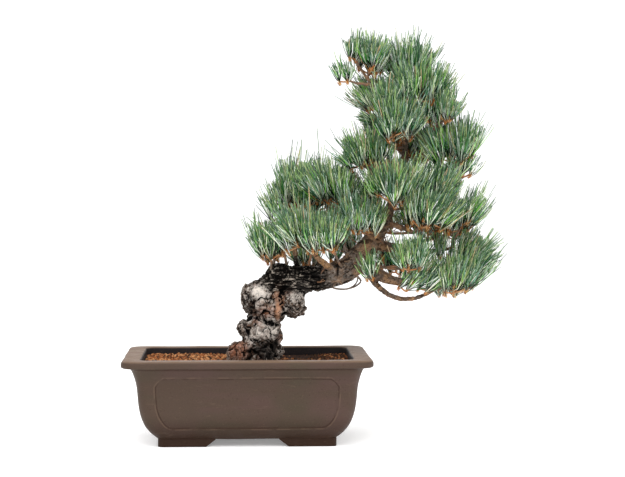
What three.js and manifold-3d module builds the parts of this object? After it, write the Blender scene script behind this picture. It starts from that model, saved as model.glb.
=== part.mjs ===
// A Japanese white pine grown as a bonsai in a shallow rectangular pot, in millimetres, +Z up.
// The pot's long side faces -Y and the trunk leans out over its right-hand end. It is drawn in
// the pot's own frame, with the rim at z = 97, and then stood on its feet, centred on its box.
import * as THREE from "three";
import { mergeVertices } from "three/addons/utils/BufferGeometryUtils.js";
import Module from "manifold-3d";

const wasm = await Module();
wasm.setup();

// Pot sizes. Half widths are along X, and the pot is shorter by the same step all round in Y.
const POT_HALF_WIDTH = 141;
const POT_HALF_DEPTH = 100;
const RIM_TOP = 97;
const POT_SIDE_STEP = POT_HALF_WIDTH - POT_HALF_DEPTH;
const RIM_INSIDE = 119.5;
const FLOOR_TOP = 16;
const FOOT_BOTTOM = -3.3;
const FOOT_HALF_WIDTH = 101;
const FOOT_WALL = 13;
const FOOT_OPENING_LONG = 47;
const FOOT_OPENING_SHORT = 30;
const FOOT_SLOPE = 12;
const PANEL_SINK = 1.3;
const DRAIN_RADIUS = 9;
const DRAIN_OFFSET = 58;

// Soil sizes.
const SOIL_LEVEL = 86.6;
const SOIL_GAP = 0.3;

// Trunk and twig sizes.
const TRUNK_FOOT = new THREE.Vector2(12, 0);
const CLEAR = 0.3;
const STEM_RADIUS = 1.7;
const TWIG_RADIUS = 1.2;
const BUD_RADIUS = 3.1;
const BUD_LENGTH = 11;
const NEEDLE_RADIUS = 1.9;
const TUFT_SPREAD = 0.92;
const NEEDLE_RANGE = 2.0;
const GOLDEN_ANGLE = Math.PI * (3 - Math.sqrt(5));
const SIDE_LEAN = 0.35;

// How much wider than its drawn radius the trunk and a knot are taken when needles avoid them.
const TRUNK_ALLOWANCE = 1.12;
const KNOT_ALLOWANCE = 1.05;

const COLOURS = {
  pot: 0x5f5048,
  soil: 0xa8683c,
  bark: 0x57504a,
  bough: 0x8a6a4e,
  needles: 0x4d7a55,
};
const MATERIALS = {
  pot: new THREE.MeshStandardMaterial({ color: COLOURS.pot, roughness: 0.6, metalness: 0 }),
  soil: new THREE.MeshStandardMaterial({ color: COLOURS.soil, roughness: 0.95, metalness: 0 }),
  bark: new THREE.MeshStandardMaterial({ color: COLOURS.bark, roughness: 0.9, metalness: 0 }),
  bough: new THREE.MeshStandardMaterial({ color: COLOURS.bough, roughness: 0.85, metalness: 0 }),
  needles: new THREE.MeshStandardMaterial({ color: COLOURS.needles, roughness: 0.5, metalness: 0 }),
};

const vec = (x, y, z) => new THREE.Vector3(x, y, z);
const mix = THREE.MathUtils.lerp;

// Closed geometry to a solid, and back.
function solidOf(geometry) {
  const bare = geometry.clone();
  bare.deleteAttribute("normal");
  bare.deleteAttribute("uv");
  const merged = mergeVertices(bare, 1e-4);
  return new wasm.Manifold(
    new wasm.Mesh({
      numProp: 3,
      vertProperties: new Float32Array(merged.attributes.position.array),
      triVerts: new Uint32Array(merged.index.array),
    }),
  );
}

function geometryOf(solid) {
  const { vertProperties, triVerts } = solid.getMesh();
  const geometry = new THREE.BufferGeometry();
  geometry.setAttribute("position", new THREE.BufferAttribute(vertProperties, 3));
  geometry.setIndex(new THREE.BufferAttribute(triVerts, 1));
  return geometry;
}

// The largest piece of a solid, so that no loose scrap stays in a node.
function largest(solid) {
  return solid.decompose().reduce((a, b) => (b.volume() > a.volume() ? b : a));
}

const join = (solids) => solids.reduce((a, b) => a.add(b));

function boxSolid(width, depth, height, centre) {
  const box = new THREE.BoxGeometry(width, depth, height);
  return solidOf(box.translate(centre.x, centre.y, centre.z));
}

// Numbers from 0 to 1 that are the same on every run.
function seeded(seed) {
  let state = seed >>> 0;
  return () => {
    state = (Math.imul(state, 1664525) + 1013904223) >>> 0;
    return state / 4294967296;
  };
}

// Pot

const CORNER_STEPS = 4;
const SEGMENTS = 4 * (CORNER_STEPS + 1);

// Point number i on a rounded rectangle of half width u. The centre is where u is 0.
function ringPoint(i, u, cornerRadius) {
  if (u === 0) return new THREE.Vector2(0, 0);
  const corner = Math.floor(i / (CORNER_STEPS + 1)) % 4;
  const angle = (Math.PI / 2) * (corner + (i % (CORNER_STEPS + 1)) / CORNER_STEPS);
  const signX = corner === 0 || corner === 3 ? 1 : -1;
  const signY = corner < 2 ? 1 : -1;
  const centreX = signX * (u - cornerRadius);
  const centreY = signY * (u - POT_SIDE_STEP - cornerRadius);
  return new THREE.Vector2(
    centreX + cornerRadius * Math.cos(angle),
    centreY + cornerRadius * Math.sin(angle),
  );
}

// A lathe turned on a rounded rectangle: profile rows are [half width, z, corner radius].
function rectangularLathe(profile, heightAt) {
  const outline = profile.map(([u, z]) => new THREE.Vector2(u, z));
  const lathe = new THREE.LatheGeometry(outline, SEGMENTS);
  const position = lathe.attributes.position;
  for (let n = 0; n < position.count; n++) {
    const [u, z, cornerRadius] = profile[n % profile.length];
    const p = ringPoint(Math.floor(n / profile.length) % SEGMENTS, u, cornerRadius);
    position.setXYZ(n, p.x, p.y, heightAt ? heightAt(p.x, p.y, z) : z);
  }
  return solidOf(lathe);
}

// The body's half width at height z: a nearly upright wall that flares out under the rim and
// curls under to the feet.
const BODY_TOP = 84;
const BODY_BOTTOM = 5.7;
const BODY_HALF_WIDTH = 125;
const WALL_LEAN = 4.2;
const CURL_UNDER = 20;
const FLARE_OUT = 4.2;
const FLARE_FROM = 58;
function bodyHalfWidth(z) {
  const down = THREE.MathUtils.clamp((BODY_TOP - z) / (BODY_TOP - BODY_BOTTOM), 0, 1);
  const up = THREE.MathUtils.clamp((z - FLARE_FROM) / (BODY_TOP - FLARE_FROM), 0, 1);
  return BODY_HALF_WIDTH - WALL_LEAN * down - CURL_UNDER * down ** 4.8 + FLARE_OUT * up ** 2.2;
}

const BODY_LEVELS = [BODY_BOTTOM, 8, 11.5, 16.5, 24, 34, 48, 62, 74, BODY_TOP];
const BODY_CORNER = 10;

function bodyWall(inset) {
  return BODY_LEVELS.map((z) => [bodyHalfWidth(z) - inset, z, BODY_CORNER]);
}

function potBody() {
  const rim = [
    [130.4, 86, BODY_CORNER],
    [132.5, 87.2, BODY_CORNER],
    [139.4, 88.6, 9],
    [POT_HALF_WIDTH, 91, 9],
    [140.6, 94.6, 9],
    [138.6, 96.6, 8],
    [135.8, RIM_TOP, 8],
    [RIM_INSIDE + 1.5, RIM_TOP, 3],
    [RIM_INSIDE, RIM_TOP - 1.5, 3],
  ];
  const wall = 6.5;
  const inside = [66, 50, 29].map((z) => [bodyHalfWidth(z) - wall, z, 4]);
  const floor = [
    [bodyHalfWidth(FLOOR_TOP) - 10, FLOOR_TOP, 4],
    [0, FLOOR_TOP, 0],
  ];
  return rectangularLathe([[0, BODY_BOTTOM, 0], ...bodyWall(0), ...rim, ...inside, ...floor]);
}

// The solid inside the body's skin, which stops a panel's cut at its depth.
function insideSkin(depth) {
  return rectangularLathe([[0, BODY_BOTTOM, 0], ...bodyWall(depth), [0, BODY_TOP, 0]]);
}

// A panel's outline with its upper corners cut off, and its sides curled in to the bottom.
const PANEL_LOW = 19.4;
const PANEL_HIGH = 76;
const CORNER_CUT = 9;
const LONG_PANEL = [102.5, 89];
const SHORT_PANEL = [63, 51];
function panelShape(halfTop, halfBottom) {
  const half = [
    [0, PANEL_HIGH],
    [halfTop - CORNER_CUT, PANEL_HIGH],
    [halfTop, PANEL_HIGH - CORNER_CUT],
    [halfTop - 1.5, mix(PANEL_LOW, PANEL_HIGH, 0.42)],
    [mix(halfBottom, halfTop, 0.55), mix(PANEL_LOW, PANEL_HIGH, 0.2)],
    [halfBottom + 3, PANEL_LOW + 4.5],
    [halfBottom - 3, PANEL_LOW],
    [0, PANEL_LOW],
  ];
  const other = half.slice(1, -1).reverse().map(([x, z]) => [-x, z]);
  return new THREE.Shape([...half, ...other].map(([x, z]) => new THREE.Vector2(x, z)));
}

// A prism of a shape drawn in X and Z, through the whole pot along Y.
function prismAlongY(shape, length) {
  const prism = new THREE.ExtrudeGeometry(shape, { depth: length, bevelEnabled: false });
  return solidOf(prism.rotateX(Math.PI / 2).translate(0, length / 2, 0));
}

function panelCuts() {
  const long = panelShape(...LONG_PANEL);
  const short = panelShape(...SHORT_PANEL);
  const front = prismAlongY(long, 2 * POT_HALF_WIDTH);
  const side = solidOf(geometryOf(prismAlongY(short, 2 * POT_HALF_WIDTH + 20)).rotateZ(Math.PI / 2));
  return front.add(side).subtract(insideSkin(PANEL_SINK));
}

// Four corner feet: one low wall ring, with a sloping opening cut through each side.
function feet() {
  const ring = rectangularLathe([
    [0, FOOT_BOTTOM, 0],
    [FOOT_HALF_WIDTH - 0.8, FOOT_BOTTOM, 6],
    [FOOT_HALF_WIDTH, FOOT_BOTTOM + 1, 6],
    [FOOT_HALF_WIDTH, BODY_BOTTOM + 1, 6],
    [0, BODY_BOTTOM + 1, 0],
  ]);
  const core = rectangularLathe([
    [0, FOOT_BOTTOM - 1, 0],
    [FOOT_HALF_WIDTH - FOOT_WALL, FOOT_BOTTOM - 1, 3],
    [FOOT_HALF_WIDTH - FOOT_WALL, BODY_BOTTOM, 3],
    [0, BODY_BOTTOM, 0],
  ]);
  const bend = mix(FOOT_BOTTOM, BODY_BOTTOM, 0.45);
  const opening = (half) => {
    const right = [
      [half, FOOT_BOTTOM - 1],
      [half - FOOT_SLOPE * 0.4, bend],
      [half - FOOT_SLOPE, BODY_BOTTOM],
    ];
    const left = right.map(([x, z]) => [-x, z]).reverse();
    return new THREE.Shape([...right, ...left].map(([x, z]) => new THREE.Vector2(x, z)));
  };
  const acrossFront = prismAlongY(opening(FOOT_OPENING_LONG), 2 * POT_HALF_WIDTH);
  const acrossSide = prismAlongY(opening(FOOT_OPENING_SHORT), 2 * POT_HALF_WIDTH);
  const turned = solidOf(geometryOf(acrossSide).rotateZ(Math.PI / 2));
  return ring.subtract(core).subtract(acrossFront).subtract(turned);
}

function drain(x) {
  const hole = new THREE.CylinderGeometry(DRAIN_RADIUS, DRAIN_RADIUS, 40, 16);
  return solidOf(hole.rotateX(Math.PI / 2).translate(x, 0, FLOOR_TOP - 10));
}

function potSolid() {
  return potBody()
    .add(feet())
    .subtract(panelCuts())
    .subtract(drain(-DRAIN_OFFSET))
    .subtract(drain(DRAIN_OFFSET));
}

// Soil: baked clay granules heaped at both ends, low on the right of the trunk, flat round it.
function soilHeight(x, y) {
  const bump = (cx, cy, sx, sy) => Math.exp(-(((x - cx) / sx) ** 2) - ((y - cy) / sy) ** 2);
  const away = 1 - bump(TRUNK_FOOT.x, TRUNK_FOOT.y, 44, 40);
  const left = 3.2 * bump(-76, 20, 52, 70);
  const right = 2.2 * bump(108, 20, 24, 60);
  const hollow = 2.8 * bump(62, 30, 30, 50);
  return SOIL_LEVEL + (left + right - hollow) * Math.max(0, away) ** 1.5;
}

function soilSolid() {
  const top = [RIM_INSIDE - 3.6, 100, 78, 58, 46];
  const profile = [
    [0, FLOOR_TOP + SOIL_GAP, 0],
    [bodyHalfWidth(FLOOR_TOP) - 12, FLOOR_TOP + SOIL_GAP, 4],
    [bodyHalfWidth(29) - 9.2, 29, 4],
    [bodyHalfWidth(50) - 7.2, 50, 4],
    [RIM_INSIDE - 1.6, 78, 4],
    ...top.map((u) => [u, SOIL_LEVEL, Math.min(4, u - POT_SIDE_STEP - 1)]),
    [0, SOIL_LEVEL, 0],
  ];
  return rectangularLathe(profile, (x, y, z) => (z === SOIL_LEVEL ? soilHeight(x, y) : z));
}

// Trunk

// Where the trunk's centre runs, from its foot in the soil to its tip: [x, y, z, radius].
const TRUNK_STATIONS = [
  [12, 0, 80, 29],
  [14, 0, 100, 25],
  [15, 0, 116, 22],
  [18, 2, 136, 17],
  [20, 2, 158, 20],
  [34, 4, 179, 17],
  [61, 3, 181.5, 17.2],
  [89, -1, 184.5, 15],
  [113, -4, 193, 15.6],
  [132, -5, 209.5, 15],
  [146, -6, 229, 11.2],
  [158, -8, 247, 7.8],
  [167, -4, 270, 5.4],
  [176, 4, 298, 4.2],
  [184, 6, 333, 3.7],
  [180, 2, 359, 3.2],
  [167, 0, 381, 2.7],
  [147, -3, 404, 2.2],
  [129, -6, 429, 1.7],
];
const trunkCurve = new THREE.CatmullRomCurve3(
  TRUNK_STATIONS.map(([x, y, z]) => vec(x, y, z)),
  false,
  "centripetal",
);
const TRUNK_STEPS = 40;
const TRUNK_SIDES = 10;

// The trunk's radius at a share of its length, read between the stations.
const stationShare = TRUNK_STATIONS.map((_, i) => {
  const lengths = trunkCurve.getLengths(200);
  const at = Math.round((i / (TRUNK_STATIONS.length - 1)) * 200);
  return lengths[at] / lengths[200];
});
function trunkRadius(share) {
  let i = 1;
  while (i < stationShare.length - 1 && stationShare[i] < share) i++;
  const between = (share - stationShare[i - 1]) / (stationShare[i] - stationShare[i - 1]);
  return mix(TRUNK_STATIONS[i - 1][3], TRUNK_STATIONS[i][3], between);
}

// A cylinder bent along a curve, with a radius for each share of the length.
function limb(curve, radiusAt, sides, steps, swellAt = () => 1) {
  const cylinder = new THREE.CylinderGeometry(1, 1, 1, sides, steps);
  const frames = curve.computeFrenetFrames(steps, false);
  const position = cylinder.attributes.position;
  for (let n = 0; n < position.count; n++) {
    const step = Math.round((position.getY(n) + 0.5) * steps);
    const share = step / steps;
    const angle = Math.atan2(position.getX(n), position.getZ(n));
    const r = radiusAt(share) * swellAt(share, angle);
    const p = curve
      .getPointAt(share)
      .addScaledVector(frames.binormals[step], position.getX(n) * r)
      .addScaledVector(frames.normals[step], position.getZ(n) * r);
    position.setXYZ(n, p.x, p.y, p.z);
  }
  return solidOf(cylinder);
}

// Swollen knots that the old bark has healed over: [x, y, z, half sizes along X, Y and Z].
const KNOTS = [
  { at: [-11, -6, 98], half: [14, 13, 15] },
  { at: [34, 4, 98], half: [10, 14, 12] },
  { at: [-3, 0, 127], half: [10, 13, 12] },
  { at: [22, -6, 117], half: [20, 18, 20] },
  { at: [13, -5, 162], half: [22, 20, 22] },
  { at: [29, -6, 144], half: [16, 16, 15] },
  { at: [54, -6, 157], half: [16, 16, 20.5] },
  { at: [38, -2, 189], half: [17, 15, 13] },
  { at: [66, -2, 181], half: [19, 16, 17] },
  { at: [18, 12, 132], half: [21, 14, 24] },
  { at: [30, 16, 168], half: [19, 12, 18] },
  { at: [160, -8, 249], half: [9, 8, 8] },
];

function knot({ at, half }, grow, seed) {
  const ball = new THREE.IcosahedronGeometry(1, 1);
  const position = ball.attributes.position;
  for (let n = 0; n < position.count; n++) {
    const p = vec().fromBufferAttribute(position, n);
    const wave = Math.sin(5 * p.x + seed) * Math.sin(4 * p.y + 2 * seed) * Math.sin(5 * p.z + seed);
    const swell = 1 + 0.12 * wave;
    position.setXYZ(
      n,
      at[0] + p.x * (half[0] * swell + grow),
      at[1] + p.y * (half[1] * swell + grow),
      at[2] + p.z * (half[2] * swell + grow),
    );
  }
  return solidOf(ball);
}

// The old, gnarled part is lumpy, and the younger part above the elbow is nearly round.
function trunkSwell(share, angle) {
  const old = Math.max(0, 1 - share / 0.42);
  const broad = 0.11 * Math.sin(3 * angle + 26 * share);
  const narrow = 0.05 * Math.sin(5 * angle - 41 * share);
  return 1 + old * (broad + narrow);
}

function trunkSolid(grow) {
  const tube = limb(trunkCurve, (s) => trunkRadius(s) + grow, TRUNK_SIDES, TRUNK_STEPS, trunkSwell);
  const knots = KNOTS.map((k, i) => knot(k, grow, i + 1));
  const below = boxSolid(200, 200, 60, vec(0, 0, SOIL_LEVEL + CLEAR - grow - 30));
  return join([tube, ...knots]).subtract(below);
}

const trunk = largest(trunkSolid(0));
const trunkKeepOut = trunkSolid(CLEAR);

// Boughs

// Each bough leaves the trunk at a share of its length, passes a bend and ends at its tip:
// [leaves, bend, tip, [radius at the trunk, radius at the tip]].
const BOUGHS = {
  bough_front_left: [0.385, [84, -34, 205], [77, -40, 212], [4.6, 3.0]],
  bough_back_left: [0.28, [56, 14, 226], [50, 10, 246], [3.8, 2.4]],
  bough_centre_left: [0.42, [108, -10, 232], [105, -14, 256], [3.4, 2.2]],
  bough_low_right: [0.435, [156, -24, 180], [184, -34, 181], [7.5, 4.6]],
  bough_low_sweep: [0.45, [161, -30, 140], [213, -20, 170], [4.2, 2.3]],
  bough_right: [0.555, [176, -20, 246], [185, -30, 239], [4.4, 2.8]],
  bough_far_right: [0.49, [188, 10, 210], [236, 2, 218], [4.0, 2.0]],
  bough_upper_right: [0.675, [206, -4, 303], [230, -6, 304], [3.2, 2.0]],
  bough_upper_left: [0.66, [158, -2, 297], [146, -6, 304], [3.0, 1.9]],
  bough_top_right: [0.79, [198, -4, 349], [212, -8, 354], [2.6, 1.8]],
  bough_back_low: [0.34, [84, 40, 204], [82, 50, 216], [3.8, 2.2]],
  bough_back_mid: [0.475, [144, 40, 226], [146, 54, 236], [3.8, 2.2]],
  bough_back_right: [0.505, [186, 36, 214], [208, 48, 222], [4.0, 2.2]],
  bough_back_top: [0.69, [190, 26, 306], [196, 34, 312], [2.8, 1.8]],
};

function boughCurve([leaves, bend, tip]) {
  const start = trunkCurve.getPointAt(leaves);
  return new THREE.QuadraticBezierCurve3(start, vec(...bend), vec(...tip));
}

const BOUGH_SIDES = 5;
const BOUGH_STEPS = 5;

function boughLimb(bough, grow) {
  const [thick, thin] = bough[3];
  return limb(boughCurve(bough), (s) => mix(thick, thin, s) + grow, BOUGH_SIDES, BOUGH_STEPS);
}

// Boughs that leave the trunk side by side keep clear of each other too.
const boughs = {};
let keepOut = trunkKeepOut;
for (const [name, bough] of Object.entries(BOUGHS)) {
  boughs[name] = largest(boughLimb(bough, 0).subtract(keepOut));
  keepOut = keepOut.add(boughLimb(bough, CLEAR));
}

// Foliage

// Each mass grows from a bough's tip or from the trunk, at a share of its length. A row is
// [from, tip, lean, needle length, tufts, spread]: the stem ends at the leading tuft's place,
// tip, whose needles lean by [x, y] for 1 up, and the other tufts stand off it by spread.
const MASSES = {
  apex: [1, [125, -7, 439], [0.05, 0], 30, 1, 0],
  apex_right: [0.96, [141, 2, 424], [0.1, 0.1], 45, 3, 14],
  apex_left: [0.945, [115.5, -8, 413], [-0.18, -0.1], 29, 1, 0],
  crest: [0.88, [183, 14, 413], [-0.05, 0.15], 54, 3, 16],
  crest_front: [0.835, [160, -24, 374], [-0.1, -0.35], 43, 1, 0],
  crest_left: [0.85, [148, 12, 384], [-0.6, 0.15], 41, 2, 12],
  crest_right: [0.835, [199, -16, 392], [0.05, -0.15], 46, 3, 15],
  crest_back: [0.865, [163, 26, 384], [-0.1, 0.5], 42, 2, 18],
  upper_front: [0.765, [177, -27, 350], [0.15, -0.3], 47, 3, 18],
  upper_left: [0.755, [154, 4, 345], [-0.25, 0.1], 34, 1, 0],
  upper_back: [0.74, [176, 42, 338], [0.2, 0.5], 42, 3, 20],
  top_right: ["bough_top_right", [222, -10, 366], [0.1, -0.15], 46, 4, 16],
  upper_right: ["bough_upper_right", [235, -8, 323], [-0.15, -0.05], 51, 4, 17],
  shoulder_left: ["bough_upper_left", [138, -12, 317], [-0.25, -0.2], 46, 3, 16],
  heart_front: [0.6, [168, -36, 277], [0.0, -0.3], 50, 3, 17],
  heart_back: [0.625, [164, 38, 290], [-0.2, 0.5], 45, 3, 22],
  heart_right: [0.595, [214, -8, 276], [0.3, 0], 48, 3, 20],
  heart_left: [0.585, [146, 8, 270], [-0.25, 0.3], 42, 1, 0],
  right_front: ["bough_right", [198, -43, 246], [0.15, -0.35], 48, 3, 16],
  far_right: ["bough_far_right", [236, -4, 242], [0, 0], 50, 3, 16],
  low_front: [0.52, [126, -36, 243], [-0.15, -0.4], 46, 2, 14],
  centre_left: ["bough_centre_left", [104, -16, 274], [-0.1, -0.1], 50, 3, 17],
  left_crown: ["bough_back_left", [57, 8, 270], [0.1, 0], 58, 3, 11],
  left_middle: [0.305, [80, 12, 266], [0.05, 0.15], 56, 3, 18],
  left_edge: [0.26, [36, -16, 257], [-0.4, -0.15], 34, 1, 0],
  left_knob: [0.21, [27, -16, 211], [-0.08, -0.2], 54, 1, 0],
  left_front: ["bough_front_left", [68, -47, 223], [-0.12, -0.25], 54, 2, 10],
  middle_front: [0.4, [97, -46, 224], [0.1, -0.3], 44, 2, 14],
  low_right_front: ["bough_low_right", [192, -38, 199], [0.1, -0.25], 42, 2, 14],
  low_sweep: ["bough_low_sweep", [242, -14, 171], [0.2, -0.1], 60, 4, 16],
  low_hollow: [0.43, [143, -38, 186], [-0.15, -0.4], 34, 1, 0],
  right_under: [0.44, [250, 8, 199], [0.6, 0.1], 54, 3, 15],
  right_inner: [0.535, [214, 16, 240], [0.2, 0.2], 42, 2, 16],
  low_back: [0.46, [176, 34, 192], [0.2, 0.5], 44, 3, 20],
  left_back: ["bough_back_low", [78, 56, 230], [-0.1, 0.4], 48, 3, 24],
  middle_back: ["bough_back_mid", [144, 60, 246], [-0.1, 0.4], 46, 3, 22],
  right_back: ["bough_back_right", [216, 52, 232], [0.3, 0.4], 46, 4, 24],
  upper_right_back: ["bough_back_top", [206, 44, 322], [0.2, 0.4], 46, 3, 20],
  knob_back: [0.225, [32, 34, 206], [-0.3, 0.5], 44, 2, 16],
  arm_back: [0.32, [70, 26, 197], [0, 0.3], 36, 2, 14],
  right_sprig: [0.64, [249, -10, 303], [0.35, 0], 36, 2, 9],
  low_inner: [0.455, [199, -30, 176], [0.75, -0.1], 38, 2, 12],
  elbow_back: [0.42, [124, 24, 214], [-0.15, 0.25], 38, 2, 12],
};

// The stem curve of a mass, and where its side twigs lead, by a rule with a seed of its own.
function growTwigs(name, row, seed) {
  const [from, to, lean, needle, count, spread] = row;
  const random = seeded(seed * 7919 + 17);
  const tip = vec(...to);
  const parent = typeof from === "string" ? boughCurve(BOUGHS[from]) : null;
  const root = parent ? parent.getPointAt(1) : trunkCurve.getPointAt(from);
  const span = root.distanceTo(tip);
  const middle = root.clone().lerp(tip, 0.5);
  middle.z -= 0.12 * span;
  if (parent) {
    const onward = parent.getTangentAt(1);
    middle.copy(root).addScaledVector(onward, 0.4 * span);
    root.addScaledVector(onward, CLEAR);
  }
  const stem = new THREE.QuadraticBezierCurve3(root, middle, tip);
  const axis = vec(lean[0], lean[1], 1).normalize();
  const tufts = [{ base: tip, axis, length: needle, twig: null }];
  const start = random() * Math.PI * 2;
  for (let i = 1; i < count; i++) {
    const along = mix(0.45, 0.8, random());
    const angle = start + i * GOLDEN_ANGLE;
    const aside = vec(Math.cos(angle), Math.sin(angle), 0);
    const reach = spread * mix(0.8, 1.1, random());
    const rise = spread * mix(-0.15, 0.45, random());
    const base = tip.clone().addScaledVector(aside, reach);
    base.z += rise;
    const leaning = axis.clone().addScaledVector(aside, SIDE_LEAN);
    const length = needle * mix(0.8, 1.0, random());
    tufts.push({ base, axis: leaning.normalize(), length, twig: stem.getPoint(along) });
  }
  return { name, stem, tufts };
}

const grown = Object.entries(MASSES).map(([name, row], i) => growTwigs(name, row, i + 1));

// Each tuft's line, from its bud's foot to near its needles' tips. A tuft's own space is every
// point that lies nearer to its line than to any other's, so a mass keeps to its own space too.
const lines = grown.flatMap(({ tufts }) =>
  tufts.map(({ base, axis, length }) => {
    const foot = base.clone().addScaledVector(axis, -BUD_LENGTH / 2);
    return new THREE.Line3(foot, base.clone().addScaledVector(axis, 0.9 * length));
  }),
);
const onLine = vec(0, 0, 0);
const distanceTo = (line, point) => line.closestPointToPoint(point, true, onLine).distanceTo(point);

function inOwnSpace(point, own, margin) {
  const limit = distanceTo(lines[own], point) + 2 * margin;
  return lines.every((line, i) => i === own || distanceTo(line, point) >= limit);
}

// Every limb as short straight lengths with a radius, for telling what a needle would touch.
function lengthsOf(curve, radiusAt, steps, owner) {
  return Array.from({ length: steps }, (_, i) => ({
    a: curve.getPointAt(i / steps),
    b: curve.getPointAt((i + 1) / steps),
    radius: Math.max(radiusAt(i / steps), radiusAt((i + 1) / steps)),
    owner,
  }));
}

const wood = [
  ...lengthsOf(trunkCurve, (s) => trunkRadius(s) * TRUNK_ALLOWANCE, 60, "trunk"),
  ...Object.entries(BOUGHS).flatMap(([name, b]) =>
    lengthsOf(boughCurve(b), (s) => mix(...b[3], s), 8, name),
  ),
  ...KNOTS.map(({ at, half }) => ({
    a: vec(...at),
    b: vec(...at).add(vec(0.1, 0, 0)),
    radius: Math.max(...half) * KNOT_ALLOWANCE,
    owner: "trunk",
  })),
  ...grown.flatMap(({ name, stem }) => lengthsOf(stem, () => STEM_RADIUS, 6, name)),
  ...grown.flatMap(({ name, tufts }) =>
    tufts
      .filter(({ twig }) => twig)
      .map(({ twig, base }) => ({ a: twig, b: base, radius: TWIG_RADIUS, owner: name })),
  ),
];

// Shortest distance between two straight lengths, found by a few rounds of nearest points.
function gapBetween(a, b, c, d) {
  const first = new THREE.Line3(a, b);
  const second = new THREE.Line3(c, d);
  const onFirst = a.clone().lerp(b, 0.5);
  const onSecond = vec(0, 0, 0);
  for (let round = 0; round < 8; round++) {
    second.closestPointToPoint(onFirst, true, onSecond);
    first.closestPointToPoint(onSecond, true, onFirst);
  }
  return onFirst.distanceTo(onSecond);
}

function touchesWood(a, b, radius, own) {
  return wood.some(
    (w) => w.owner !== own && gapBetween(a, b, w.a, w.b) < w.radius + radius + 2 * CLEAR,
  );
}

// A three-sided twig from a to b.
function twigSolid(a, b) {
  const along = b.clone().sub(a);
  const bar = new THREE.CylinderGeometry(TWIG_RADIUS * 0.8, TWIG_RADIUS, along.length(), 3, 1);
  const turn = new THREE.Quaternion().setFromUnitVectors(vec(0, 1, 0), along.clone().normalize());
  const centre = a.clone().lerp(b, 0.5);
  return solidOf(bar.applyQuaternion(turn).translate(centre.x, centre.y, centre.z));
}

// A tuft: a slim bud along the axis, with a needle drawn out of each of its upper faces. The
// needles fan out from the axis, and one that would not fit is left as the bud's bare face.
function tuftSolid({ base, axis, length }, own, name) {
  const random = seeded(own * 97 + 5);
  const bud = new THREE.SphereGeometry(BUD_RADIUS, 5, 4)
    .scale(1, BUD_LENGTH / (2 * BUD_RADIUS), 1)
    .rotateY(random() * Math.PI)
    .toNonIndexed();
  const turn = new THREE.Quaternion().setFromUnitVectors(vec(0, 1, 0), axis);
  const position = bud.attributes.position;
  const corners = [];
  for (let n = 0; n < position.count; n += 3) {
    const [a, b, c] = [0, 1, 2].map((k) => vec().fromBufferAttribute(position, n + k));
    const centre = a.clone().add(b).add(c).divideScalar(3);
    const fromAxis = Math.atan2(Math.hypot(centre.x, centre.z), centre.y);
    const about = Math.atan2(centre.x, centre.z) + mix(-0.18, 0.18, random());
    const lean = TUFT_SPREAD * Math.min(1, fromAxis / NEEDLE_RANGE) * mix(0.85, 1.1, random());
    const reach = length * mix(0.84, 1, random()) * mix(1, 0.85, fromAxis / NEEDLE_RANGE);
    const out = Math.sin(lean) * reach;
    const apex = centre
      .clone()
      .add(vec(out * Math.sin(about), Math.cos(lean) * reach, out * Math.cos(about)));
    const [p, q, r, middle, tip] = [a, b, c, centre, apex].map((v) =>
      v.applyQuaternion(turn).add(base),
    );
    const fits =
      fromAxis < NEEDLE_RANGE &&
      inOwnSpace(tip, own, CLEAR) &&
      inOwnSpace(middle.clone().lerp(tip, 0.6), own, CLEAR + 0.4 * NEEDLE_RADIUS) &&
      inOwnSpace(middle.clone().lerp(tip, 0.3), own, CLEAR + 0.7 * NEEDLE_RADIUS) &&
      !touchesWood(middle, tip, NEEDLE_RADIUS, name);
    if (fits) corners.push(p, q, tip, q, r, tip, r, p, tip);
    else corners.push(p, q, r);
  }
  return solidOf(new THREE.BufferGeometry().setFromPoints(corners));
}

function budFits({ base, axis }, own, name) {
  const foot = base.clone().addScaledVector(axis, -BUD_LENGTH / 2);
  const head = base.clone().addScaledVector(axis, BUD_LENGTH / 2);
  return (
    inOwnSpace(base, own, BUD_RADIUS + CLEAR) && !touchesWood(foot, head, BUD_RADIUS, name)
  );
}

// A mass: its stem, then each tuft that fits, carried by a twig unless it ends the stem.
function massSolid({ name, stem, tufts }, firstLine) {
  const made = [limb(stem, (s) => mix(STEM_RADIUS, TWIG_RADIUS, s), 3, 4)];
  tufts.forEach((tuft, i) => {
    const { twig, base } = tuft;
    const blocked = twig && touchesWood(twig, base, TWIG_RADIUS, name);
    if (blocked || !budFits(tuft, firstLine + i, name)) return;
    if (twig) made.push(twigSolid(twig, base));
    made.push(tuftSolid(tuft, firstLine + i, name));
  });
  return largest(join(made).subtract(trunkKeepOut));
}

// The plant, all in the pot's frame, then stood on the centre of its bounding box.
const bonsai = new THREE.Group();
function addNode(name, solid, material) {
  const mesh = new THREE.Mesh(geometryOf(solid), material);
  mesh.name = name;
  bonsai.add(mesh);
}

addNode("pot", potSolid(), MATERIALS.pot);
addNode("soil", soilSolid().subtract(trunkKeepOut), MATERIALS.soil);
addNode("trunk", trunk, MATERIALS.bark);
Object.entries(boughs).forEach(([name, solid]) => addNode(name, solid, MATERIALS.bough));
let firstLine = 0;
for (const mass of grown) {
  addNode("foliage_" + mass.name, massSolid(mass, firstLine), MATERIALS.needles);
  firstLine += mass.tufts.length;
}

const box = new THREE.Box3().setFromObject(bonsai);
const middle = box.getCenter(vec(0, 0, 0));
bonsai.position.set(-middle.x, -middle.y, -box.min.z);

export default bonsai;
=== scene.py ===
import math

import bmesh
import bpy
import numpy as np
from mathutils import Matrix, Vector, noise


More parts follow.
